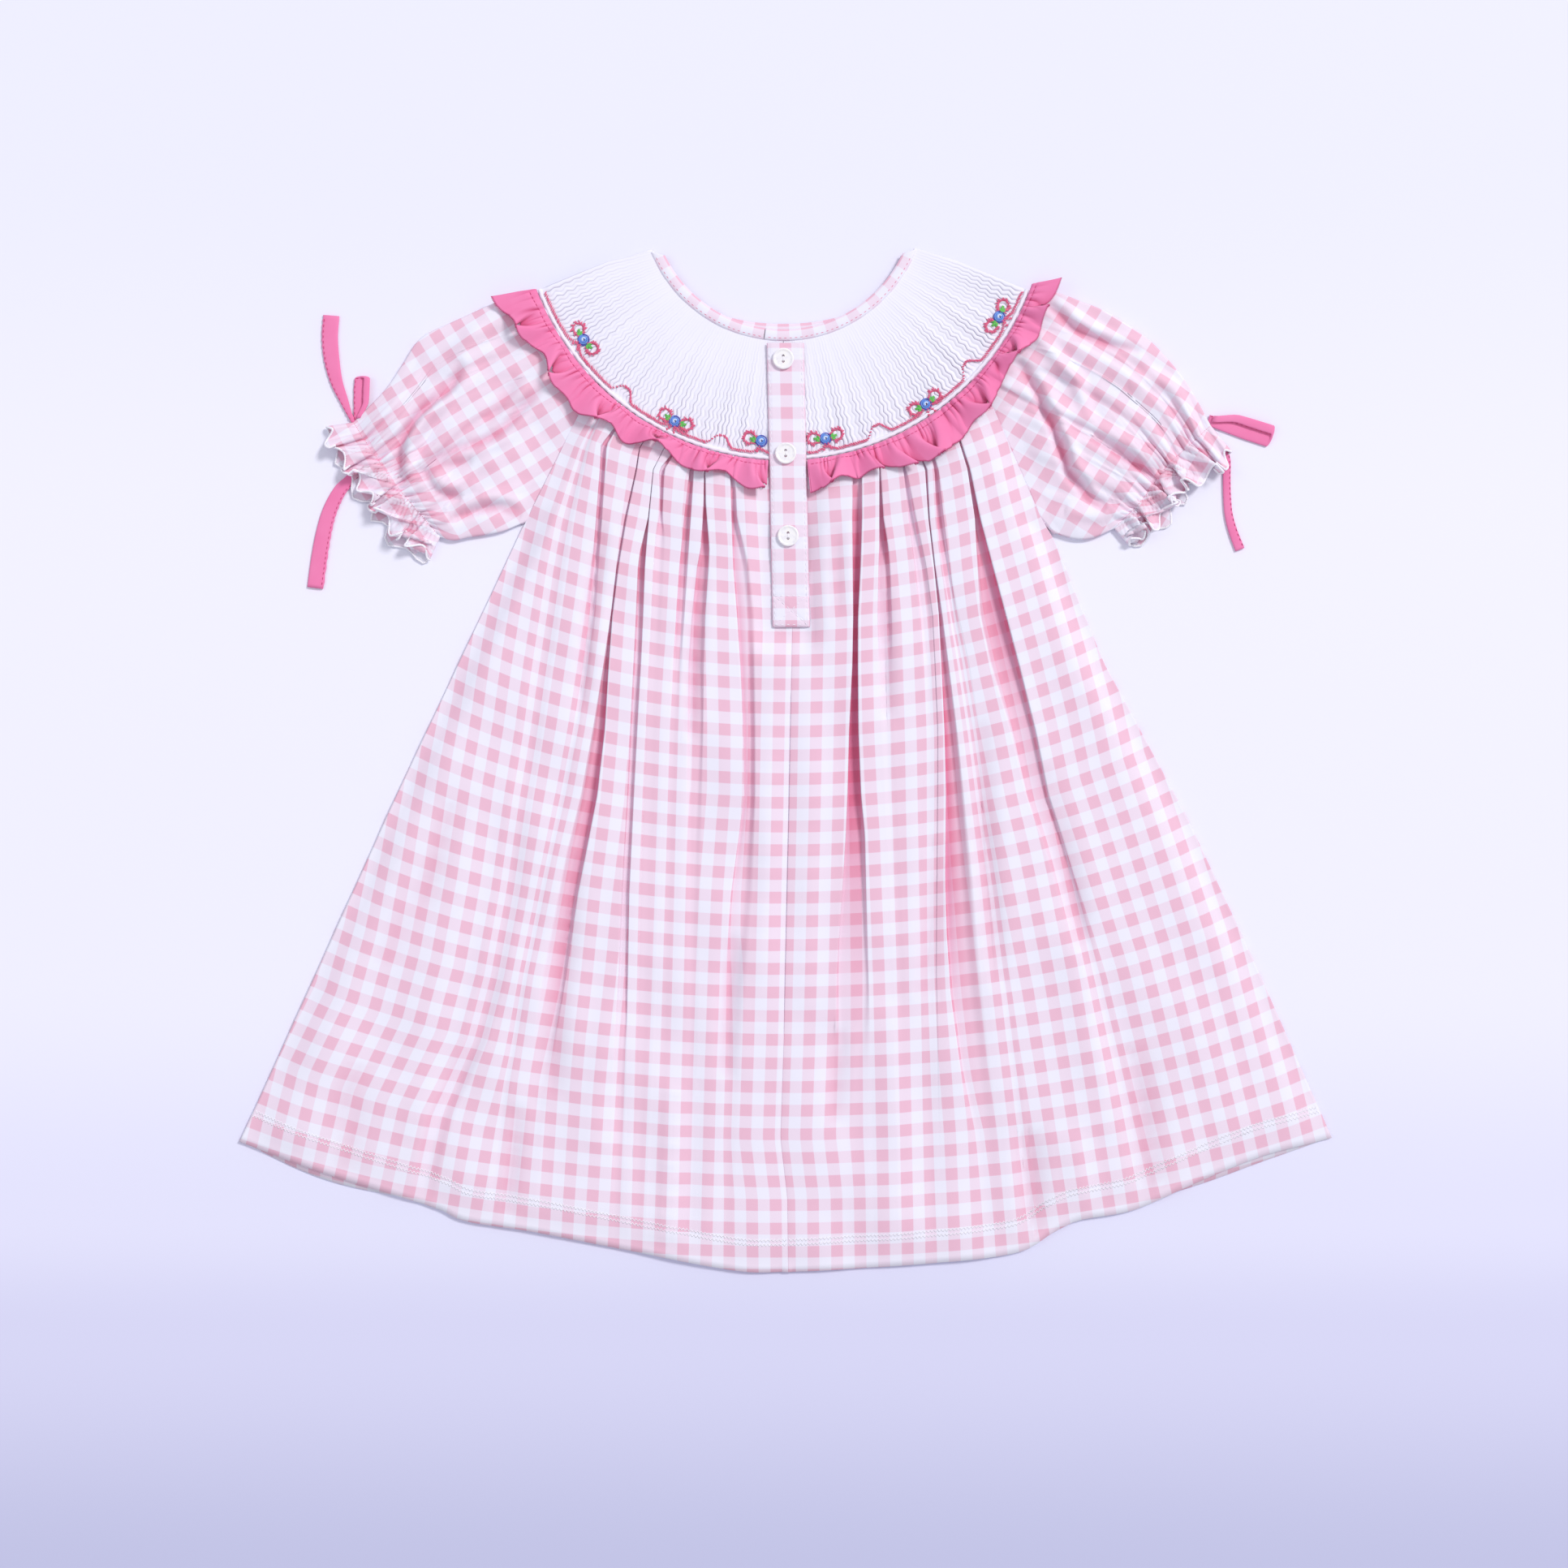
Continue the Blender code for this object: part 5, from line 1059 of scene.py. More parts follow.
# The ruffle: a strip of bright pink jersey gathered into the yoke seam, its free edge stretched
# while it was overlocked, so that it stands up in curls over the skirt and the sleeves.
RUFFLE_SEAM_Z, RUFFLE_EDGE_Z = 6.2, 8.2
WAVE_TALL, WAVE_WIDE, WAVE_LEAN = 1.15, 1.75, 1.9
WAVE_PULL, POCKET_PULL = 0.15, 3.4
RUFFLE_EDGE = {
    "left": [(4.0, 157.0), (6.3, 159.5), (12.2, 150.0), (16.0, 155.0), (20.0, 155.0), (27.2, 147.5),
             (32.5, 158.5), (37.1, 152.5), (43.9, 162.0), (46.7, 157.6), (51.0, 160.5),
             (56.0, 152.5), (62.5, 161.3), (64.5, 158.0), (69.3, 165.0)],
    "right": [(4.0, 160.6), (8.0, 158.5), (12.5, 152.0), (14.0, 158.0), (17.5, 154.0), (24.3, 159.5),
              (28.5, 163.0), (36.0, 162.0), (40.5, 157.5), (43.0, 160.0), (50.7, 152.7),
              (56.3, 151.5), (60.0, 156.6), (65.0, 153.3), (69.3, 155.0)],
}
# How far past the shoulder fold the ruffle reaches, at its seam and at its edge.
RUFFLE_PAST = {"left": (0.3, 1.6), "right": (1.4, 4.2)}
RUFFLE_WAVES = {
    # angle, footprint at the edge, height at the edge, lean
    "left": [(7.0, 9.0, 4.5, -0.9), (12.3, 7.5, 5.0, 0.8), (18.0, 9.0, 4.5, -0.7), (24.0, 8.5, 5.0, 0.9),
             (30.5, 8.5, 5.5, -0.9), (36.8, 7.5, 5.0, 0.8), (43.0, 9.0, 5.5, -0.8), (49.3, 8.0, 4.5, 0.9),
             (56.0, 7.5, 5.0, -0.8), (61.0, 7.5, 4.5, 0.7), (65.8, 6.5, 4.0, -0.5)],
    "right": [(7.2, 9.0, 4.5, 0.8), (12.6, 7.5, 5.0, -0.8), (17.5, 7.5, 4.5, 0.7), (23.0, 8.5, 5.0, 0.9),
              (28.2, 8.0, 5.5, 0.9), (34.0, 9.0, 5.0, -0.8), (40.6, 8.0, 5.5, 0.9), (47.0, 8.0, 4.5, -0.7),
              (53.0, 7.5, 5.0, 0.8), (59.0, 8.0, 5.0, -0.8), (64.8, 6.5, 4.5, 0.6)],
}
RUFFLE_STITCH = 0.15
SERGE_LOOPS, SERGE_WIDE = 760, 0.4

pink, nodes, links, shader = new_material("pink jersey", 0.75)
shader.inputs["Specular IOR Level"].default_value = 0.3
shader.inputs["Sheen Weight"].default_value = 0.25
shader.inputs["Sheen Roughness"].default_value = 0.4
group = add_knit(nodes, links, shader, 0.5, 0.45, 0.4, 0.12)
plain = mixed(nodes, links, group.outputs["Tone"], screen(238, 116, 168), screen(247, 146, 192))
# Painted shade: the ruffle's fold pockets and gather creases darken to this deep pink.
paint_fold_shade(nodes, links, shader, plain, screen(190, 46, 98))
pink_dark_thread = thread_finish("deep pink thread", (224, 92, 146), (192, 54, 108))


def ruffle_row(side, share, fold_steps, flat_steps):
    """One arc of the back ruffle, from its seam at share 0 to its wavy edge at share 1."""
    sign = -1 if side == "left" else 1
    past, past_edge = RUFFLE_PAST[side]
    degrees = np.linspace(placket_deg(side, SKIRT_R), SHOULDER_DEG + past + (past_edge - past) * share, 281)
    edge = np.interp(degrees, *np.array(RUFFLE_EDGE[side]).T)
    edge = np.convolve(np.pad(edge, 6, mode="edge"), np.ones(13) / 13, mode="valid")
    radius = SKIRT_R + 0.2 + (edge - SKIRT_R) * share
    line = polar(radius, sign * degrees)
    run = runs(line)
    folds = []
    for angle, foot, tall, lean in RUFFLE_WAVES[side]:
        spot = np.interp(angle, degrees, run)
        rise = 0.8 + (tall * WAVE_TALL - 0.8) * share
        folds.append((spot, foot * WAVE_WIDE * (0.6 + 0.4 * share), rise, lean * WAVE_LEAN * share))
    spots, height, used, pocket = pleated_row(run[-1], folds, fold_steps, flat_steps, swell=SWELL)
    row = on_line(line, spots, height)
    # Where the strip stands up it reaches out less far, and a fold's hidden side draws back under it.
    out = row[:, :2] - (NECK_X, NECK_Y)
    out /= np.linalg.norm(out, axis=1)[:, None]
    row[:, :2] -= out * (share * (WAVE_PULL * height + POCKET_PULL * pocket))[:, None]
    row[:, 2] += RUFFLE_SEAM_Z + (RUFFLE_EDGE_Z - RUFFLE_SEAM_Z) * share ** 0.7
    return row, used, pocket


for side in ("left", "right"):
    shares = np.linspace(0.0, 1.0, 26)
    made = [ruffle_row(side, share, 26, 18) for share in shares]
    points, used, depth = (np.array(part) for part in zip(*made))
    place_along = used / used[:, -1:] * 165.0
    uneven = ripple(place_along, shares[:, None] * 4.0, 14.0, 21 if side == "left" else 22)
    small = np.abs(np.sin(place_along * 0.85 + 2.4 * uneven)) - 0.6
    strong = np.clip(0.6 + 0.7 * ripple(place_along, 0.0 * place_along, 8.0, 23), 0.1, 1.2)
    reach = np.clip(0.36 + 0.22 * ripple(place_along, 0.0 * place_along, 13.0, 24), 0.14, 0.65)
    fade = strong * np.exp(-(np.clip(shares[:, None] - RUFFLE_STITCH, 0.0, None) / reach) ** 2)
    points[..., 2] += 1.9 * small * fade - 1.5 * np.exp(-shares[:, None] / 0.08)
    points[..., 2] -= 0.5 * np.exp(-((shares[:, None] - RUFFLE_STITCH) / 0.05) ** 2)
    # Painted shade in the fold pockets and in the creases of the small gathers by the seam.
    creased = fade * hump(small + 0.6, 0.35) * (shares[:, None] > RUFFLE_STITCH)
    depth = np.clip(0.8 * depth * shares[:, None] + creased, 0.0, 1.0)
    piece = shell(f"ruffle_back_{side}", points, pink, depth=depth)
    dress_piece(piece, f"ruffle_back_{side}")
    path = along(points[-1], np.linspace(0.0, 1.0, SERGE_LOOPS))
    out = path[:, :2] - (NECK_X, NECK_Y)
    out /= np.linalg.norm(out, axis=1)[:, None]
    path[:, :2] += out * np.where(np.arange(SERGE_LOOPS) % 2, SERGE_WIDE, -SERGE_WIDE)[:, None]
    threads(f"ruffle_edge_{side}", [path], 0.34, pink_dark_thread)
    sewn = along(points[4] + (0.0, 0.0, 0.4), np.linspace(0.01, 0.995, 281))
    threads(f"ruffle_stitches_{side}", [sewn[k:k + 4] for k in range(0, 277, 4)], 0.28, pink_dark_thread,
            taper=True)

degrees = np.linspace(-SHOULDER_DEG, SHOULDER_DEG, 181)
edge = 158.5 + 2.5 * np.cos(np.radians(degrees * 24))
rows = [polar(SKIRT_R + 0.2 + (edge - SKIRT_R) * share, degrees) for share in np.linspace(0.0, 1.0, 6)]
points = np.array([np.column_stack([row, np.full(181, 0.6)]) for row in rows])
piece = shell("ruffle_front", points, pink)
dress_piece(piece, "ruffle_front")

# The neck binding: a bias strip of the check folded over the raw edge of the yoke and topstitched,
# in two back lengths that end under the placket and one front length.
FRONT_DIP, END_SLANT = 3.5, 0.055
BIND_STEPS = 14


def make_binding(name, first, last, low, dip, tall):
    """A rounded band along the neck edge, with stitches near its outer edge."""
    columns = max(40, int(abs(last - first) * 2))
    rows, cloths = [], []
    for step in range(BIND_STEPS + 1):
        turn = math.pi * step / BIND_STEPS
        share = 0.5 - 0.5 * math.cos(turn)
        cut = 1.0 - END_SLANT * (1.0 - share)
        degrees = np.linspace(first * (cut if abs(first) > 45.0 else 1.0), last * cut, columns)
        dipped = np.clip(np.cos(np.radians(degrees * 3.2)), 0.0, None) * (np.abs(degrees) < 28.0)
        inside = HOLE_R - dip * dipped
        ring = polar(inside + (BINDING_OUT - inside) * share, degrees)
        height = low + (tall - CLOTH_THICK / 2) * math.sin(turn) ** 0.45
        rows.append(np.column_stack([ring, np.full(columns, height)]))
        cloths.append(np.stack([np.radians(degrees) * HOLE_R, np.full(columns, share * 7.0 + 2.0)], -1))
    points = np.array(rows)
    points[..., 2] += 0.08 * ripple(points[..., 0], points[..., 1], 9.0, 31)
    piece = shell(name, points, gingham, np.array(cloths))
    dress_piece(piece, name)
    length = abs(math.radians(last - first)) * HOLE_R * MM
    sewn = points[int(BIND_STEPS * 0.72)] + (0.0, 0.0, CLOTH_THICK / 2)
    count = int(length / MM / 0.7)
    fine = along(sewn, np.linspace(0.02, 0.98, count))
    threads(f"{name}_stitches", [fine[k:k + 3] for k in range(0, count - 3, 4)], 0.17, pink_thread,
            taper=True)


opening_deg = math.degrees(-PLACKET_HALF / HOLE_R)
make_binding("neck_binding_front", -67.6, 68.8, 0.3, FRONT_DIP, 1.5)
make_binding("neck_binding_left", opening_deg - 0.15, -67.6, 2.3, 0.0, 2.0)
make_binding("neck_binding_right", opening_deg + 0.15, 68.8, 2.3, 0.0, 2.0)

# The placket: a doubled strip of the check down the back opening, with the pink stripe down its
# middle, topstitched along both edges and closed at the foot by a sewn box with a cross.
PLACKET_X, PLACKET_SLANT = -0.2, 3.2
PLACKET_THICK = 1.5
PLACKET_TOP, PLACKET_BOTTOM = 224.0, 71.8
PLACKET_CHECK_V = -199.1
BOX_TOP = 88.4
EDGE_SEW = 1.1


def placket_low(y):
    """Height of the underside of the placket, over the yoke, the seam and then the skirt."""
    return np.interp(-np.asarray(y, float), (-182.0, -174.0, -112.0, -92.0), (4.0, 4.8, 4.8, 3.3))


def placket_point(reach, y):
    """Point on top of the placket, reach from -1 at its left edge to 1 at its right."""
    share = (PLACKET_TOP - y) / (PLACKET_TOP - PLACKET_BOTTOM)
    middle = PLACKET_X + PLACKET_SLANT * share
    spots = np.broadcast_arrays(middle + reach * PLACKET_HALF, y, placket_low(y) + PLACKET_THICK)
    return np.stack(spots, -1)


reach = np.sin(np.linspace(-math.pi / 2, math.pi / 2, 41))
levels = np.linspace(PLACKET_TOP - 0.6, PLACKET_BOTTOM + 0.6, 190)
levels = np.concatenate([[PLACKET_TOP], levels, [PLACKET_BOTTOM]])
grid_reach, grid_y = np.meshgrid(reach, levels)
points = placket_point(grid_reach, grid_y)
cloth = np.stack([grid_reach * PLACKET_HALF, grid_y + PLACKET_CHECK_V], -1)
edge_gap = (1.0 - np.abs(grid_reach)) * PLACKET_HALF
foot_gap = grid_y - PLACKET_BOTTOM
points[..., 2] -= CLOTH_THICK / 2 + 0.9 * np.exp(-edge_gap / 0.35) + 0.9 * np.exp(-foot_gap / 0.35)
puckers = np.sin(grid_y * 1.7 + 2.0 * ripple(grid_reach, grid_y, 20.0, 8))
points[..., 2] += 0.14 * puckers * falling(edge_gap, 1.6)
points[..., 2] += 0.10 * ripple(points[..., 0], points[..., 1], 22.0, 17)
box_gap = np.where(edge_gap > EDGE_SEW, grid_y - BOX_TOP, 9.0)
for line_gap in (edge_gap - EDGE_SEW, foot_gap - EDGE_SEW, box_gap):
    points[..., 2] -= 0.22 * np.exp(-(line_gap / 0.5) ** 2)
box_high = BOX_TOP - PLACKET_BOTTOM - EDGE_SEW
across_box = (grid_y - PLACKET_BOTTOM - EDGE_SEW) / box_high * 2.0 - 1.0
sewn_reach = 1.0 - EDGE_SEW / PLACKET_HALF
for hand in (-1.0, 1.0):
    cross_gap = (grid_reach / sewn_reach - hand * across_box) * PLACKET_HALF * 0.7
    points[..., 2] -= 0.3 * np.exp(-(cross_gap / 0.7) ** 2) * (np.abs(across_box) < 1.0)
# Painted shade along the placket's turned-down edges.
piece = shell("placket", points, gingham, cloth, 0.25 * np.exp(-edge_gap / 0.4))
dress_piece(piece, "placket")

sewn = []
down_side = np.arange(PLACKET_TOP - 6.0, PLACKET_BOTTOM + 1.0, -0.8)
for hand in (-1.0, 1.0):
    sewn.append([placket_point(hand * sewn_reach, y) for y in down_side])
sewn.append([placket_point(r, BOX_TOP) for r in np.arange(-sewn_reach, sewn_reach, 0.08)])
sewn.append([placket_point(r, PLACKET_BOTTOM + EDGE_SEW) for r in np.arange(-sewn_reach, sewn_reach, 0.08)])
for hand in (-1.0, 1.0):
    sewn.append([placket_point(hand * r * sewn_reach, PLACKET_BOTTOM + EDGE_SEW + box_high * (r + 1.0) / 2.0)
                 for r in np.arange(-1.0, 1.0, 0.07)])
paths = [np.array(run[k:k + 3]) - (0, 0, 0.08) for run in sewn for k in range(0, len(run) - 3, 4)]
threads("placket_stitches", paths, 0.2, white_thread, taper=True)

# The buttons: two-hole pearl shell, turned with a thin raised rim and a dished middle, sewn on with
# white thread between the holes.
BUTTONS = [(-1.3, 215.3), (0.0, 164.5), (1.3, 120.3)]
BUTTON_OUTLINE = [
    # radius and height, from the middle of the face, over the rim and back under
    (0.0, 1.30), (2.2, 1.30), (3.8, 1.31), (4.2, 1.34), (4.5, 1.52), (4.8, 1.66), (5.1, 1.68), (5.4, 1.60),
    (5.62, 1.42), (5.7, 1.15), (5.6, 0.8), (5.2, 0.35), (4.4, 0.05), (2.0, 0.0), (0.0, 0.0),
]
HOLE_OUT, BUTTON_HOLE_R = 1.5, 0.72
# Place along y, and height, of the thread over the bridge between the holes.
BUTTON_STRAND = [(-HOLE_OUT, 0.5), (-0.9, 1.25), (0.0, 1.42), (0.9, 1.25), (HOLE_OUT, 0.5)]

pearl, nodes, links, shader = new_material("pearl shell", 0.22)
shader.inputs["Coat Weight"].default_value = 0.5
shader.inputs["Coat Roughness"].default_value = 0.08
spot = nodes.new("ShaderNodeTexCoord")
bands = nodes.new("ShaderNodeTexNoise")
bands.inputs["Scale"].default_value = 190.0
bands.inputs["Distortion"].default_value = 2.2
links.new(spot.outputs["Object"], bands.inputs["Vector"])
lustre = colour_ramp(nodes, [(0.3, (240, 237, 242)), (0.5, (250, 249, 250)), (0.7, (254, 252, 246))])
links.new(bands.outputs["Fac"], lustre.inputs["Fac"])
links.new(lustre.outputs["Color"], shader.inputs["Base Color"])

for number, (button_x, button_y) in enumerate(BUTTONS, start=1):
    seat = float(placket_low(button_y)) + PLACKET_THICK + SEAM
    bm = bmesh.new()
    line = [bm.verts.new((r * MM, 0.0, z * MM)) for r, z in BUTTON_OUTLINE]
    for a, b in zip(line, line[1:]):
        bm.edges.new((a, b))
    bmesh.ops.spin(bm, geom=bm.verts[:] + bm.edges[:], cent=(0, 0, 0), axis=(0, 0, 1), angle=2 * math.pi,
                   steps=64, use_merge=True)
    bmesh.ops.remove_doubles(bm, verts=bm.verts[:], dist=0.00001)
    bmesh.ops.recalc_face_normals(bm, faces=bm.faces[:])
    bmesh.ops.translate(bm, verts=bm.verts[:], vec=(button_x * MM, button_y * MM, seat * MM))
    mesh = mesh_from(bm, f"button_{number}")
    mesh.shade_smooth()
    mesh.materials.append(pearl)
    button = link_piece(f"button_{number}_pearl", mesh)
    drills = bmesh.new()
    for hand in (-1.0, 1.0):
        made = bmesh.ops.create_cone(drills, cap_ends=True, segments=20, radius1=BUTTON_HOLE_R * MM,
                                     radius2=BUTTON_HOLE_R * MM, depth=6 * MM)
        bmesh.ops.translate(drills, verts=made["verts"],
                            vec=(button_x * MM, (button_y + hand * HOLE_OUT) * MM, seat * MM))
    drill = link_piece("drill", mesh_from(drills, "drill"))
    cut = button.modifiers.new("holes", "BOOLEAN")
    cut.operation = "DIFFERENCE"
    cut.object = drill
    bpy.context.view_layer.update()
    drilled = bpy.data.meshes.new_from_object(button.evaluated_get(bpy.context.evaluated_depsgraph_get()))
    button.modifiers.clear()
    button.data = drilled
    bpy.data.objects.remove(drill, do_unlink=True)
    drilled.set_sharp_from_angle(angle=math.radians(50))
    dress_piece(button, f"button_{number}")
    strands = [[(button_x + dx, button_y + dy, seat + high) for dy, high in BUTTON_STRAND]
               for dx in (-0.13, 0.13)]
    threads(f"button_{number}_thread", strands, 0.14, white_thread)

# The sleeves: puffed raglan sleeves of the check, cut across the grain of the skirt, gathered by a
# line of elastic a little above the wrist so that the hem stands out in an overlocked frill.
SLEEVE = {
    "left": {
        "top": [(-134.5, 250.4), (-146.0, 249.5), (-160.0, 244.0), (-178.5, 235.9), (-196.0, 227.1),
                (-205.7, 213.1), (-215.4, 199.0), (-232.4, 181.6)],
        "under": [(-142.6, 127.6), (-154.0, 123.0), (-169.8, 120.3), (-178.5, 118.6), (-186.0, 120.3)],
        "elastic": [(-232.4, 181.6), (-224.5, 169.4), (-211.4, 150.5), (-201.7, 138.5), (-186.0, 120.3)],
        "frill": [(-248.0, 181.0), (-241.0, 165.0), (-228.0, 148.0), (-214.0, 127.0), (-196.0, 113.5)],
        "frill_under": [(-246.0, 178.0), (-236.0, 152.0), (-221.0, 132.0), (-209.0, 115.5), (-187.5, 102.5)],
    },
    "right": {
        "top": [(131.6, 249.2), (144.0, 251.4), (158.5, 246.4), (169.0, 242.6), (179.5, 237.0), (190.0, 230.0),
                (200.0, 221.4), (215.0, 203.5), (228.5, 180.0)],
        "under": [(145.4, 122.2), (156.2, 119.2), (165.0, 119.9), (176.8, 125.0)],
        "elastic": [(228.5, 180.0), (213.1, 165.8), (205.2, 158.7), (191.2, 139.6), (176.8, 125.0)],
        "frill": [(241.0, 168.0), (229.0, 153.5), (213.0, 147.0), (203.5, 131.0), (183.0, 117.5)],
        "frill_under": [(238.5, 164.5), (220.6, 151.0), (211.0, 137.0), (196.0, 119.5), (187.0, 113.5)],
    },
}
SLEEVE_SECTIONS = (0.0, 0.33, 0.66, 1.0)
SLEEVE_FOLDS = {
    # footprint, lean, place at each section from the top edge to the underarm, height at each section
    "left": [
        (6.0, 0.3, (0.08, 0.09, 0.10, 0.10), (0.8, 2.0, 2.2, 2.6)),
        (7.0, 0.5, (0.17, 0.18, 0.21, 0.23), (0.9, 3.4, 3.4, 2.8)),
        (6.0, -0.3, (0.26, 0.28, 0.32, 0.36), (0.9, 2.4, 2.0, 2.8)),
        (7.0, 0.5, (0.35, 0.40, 0.45, 0.49), (0.9, 3.6, 4.2, 3.0)),
        (6.0, -0.4, (0.48, 0.53, 0.58, 0.62), (0.0, 1.2, 2.6, 2.8)),
        (7.0, 0.4, (0.62, 0.66, 0.70, 0.75), (0.0, 0.8, 3.2, 2.8)),
        (6.0, -0.3, (0.80, 0.82, 0.85, 0.88), (0.0, 1.6, 3.0, 2.6)),
    ],
    "right": [
        (6.0, 0.3, (0.08, 0.09, 0.10, 0.10), (0.8, 2.6, 2.6, 2.6)),
        (7.0, -0.5, (0.17, 0.19, 0.22, 0.23), (0.9, 4.0, 3.6, 2.8)),
        (7.0, 0.6, (0.26, 0.29, 0.33, 0.36), (0.9, 4.2, 3.0, 2.8)),
        (8.0, 0.8, (0.36, 0.44, 0.48, 0.49), (0.9, 5.2, 4.4, 3.0)),
        (6.0, -0.4, (0.50, 0.56, 0.60, 0.62), (0.0, 2.6, 3.4, 2.8)),
        (7.0, 0.5, (0.64, 0.68, 0.72, 0.75), (0.0, 1.8, 3.4, 2.8)),
        (6.0, -0.3, (0.82, 0.84, 0.86, 0.88), (0.0, 1.4, 2.4, 2.6)),
    ],
}
SLEEVE_CREASES = {
    "left": [
        ([(-173.3, 214.2), (-180.8, 199.2), (-196.8, 186.0), (-205.3, 172.8), (-208.1, 159.6), (-205.3, 148.4)],
         3.0, -2.4),
        ([(-178.0, 196.0), (-191.5, 184.5), (-199.5, 171.0), (-202.0, 160.0), (-199.5, 150.0)], 3.4, 1.6),
        ([(-130.0, 203.0), (-141.3, 189.8), (-156.3, 174.7), (-180.8, 165.3), (-195.8, 159.7)], 3.0, -1.9),
        ([(-195.8, 155.9), (-186.4, 144.6), (-173.3, 140.9)], 3.0, -1.6),
        ([(-193.9, 151.8), (-185.1, 158.4), (-168.0, 161.0)], 3.5, -1.5),
        ([(-142.0, 206.4), (-152.0, 193.0), (-163.0, 181.5)], 4.0, -1.3),
        ([(-182.7, 129.5), (-156.3, 136.1), (-141.3, 131.5)], 3.0, -2.0),
        ([(-150.0, 244.0), (-168.0, 226.0), (-178.0, 205.0)], 6.0, 1.2),
        ([(-165.0, 150.0), (-180.0, 146.0), (-198.0, 150.0)], 4.5, 1.2),
    ],
    "right": [
        ([(123.4, 216.0), (132.2, 202.2), (138.7, 189.0), (144.0, 178.1), (149.7, 162.8), (151.9, 155.3),
          (158.4, 147.5), (163.7, 140.5), (172.5, 134.6)], 2.8, -3.2),
        ([(133.0, 229.0), (141.5, 219.3), (151.0, 208.3), (155.7, 202.4), (158.9, 193.0), (164.1, 181.4)],
         3.4, 2.0),
        ([(139.4, 246.0), (146.7, 239.6), (156.2, 231.4), (169.9, 225.2), (190.9, 218.8)], 2.8, -2.2),
        ([(183.0, 202.2), (205.7, 202.2), (216.2, 184.7), (220.7, 173.9)], 4.0, 1.5),
        ([(163.0, 174.7), (189.0, 158.4), (202.0, 153.0)], 4.0, -1.8),
        ([(150.0, 135.0), (165.0, 131.0), (182.0, 133.0)], 3.5, 1.2),
    ],
}
PUFF = 3.2
SOFT_AT, SOFT_WIDTHS = (0.0, 0.2, 0.75, 1.0), (1.0, 1.8, 1.7, 1.1)
SOFT_HEIGHTS = {"left": (0.8, 0.3, 0.35, 1.0), "right": (0.8, 0.4, 0.4, 1.0)}
SLEEVE_TILE = 0.45
FRILL_PITCH, FRILL_OUT, FRILL_UP = 17.0, 3.4, 1.9
EDGE_TUCK = 2.2
GRAIN_TURN = math.radians(32.0)
CUFF_GATHER, CUFF_REACH = 2.4, 0.12
SLEEVE_ROWS, FRILL_ROWS = 60, 14


def sleeve_layout(side, u, v):
    """Flat place of a sleeve point: u from the top fold to the underarm, v from the seam to the elastic."""
    sign = -1 if side == "left" else 1
    shape = SLEEVE[side]
    arc = polar(SKIRT_R + 0.1, sign * np.linspace(SHOULDER_DEG, RAGLAN_DEG + 0.6, 12))
    raglan = [(x + sign * SEWN_GAP, y) for x, y in SIDE[side] if shape["under"][0][1] + 1.0 < y < 200.0]
    cap = np.vstack([[shape["top"][0]], arc[1:], raglan, [shape["under"][0]]])
    return patch(lambda f: along(cap, f), lambda f: along(rounded(shape["elastic"]), f),
                 lambda f: along(rounded(shape["top"]), f), lambda f: along(rounded(shape["under"]), f), u, v)


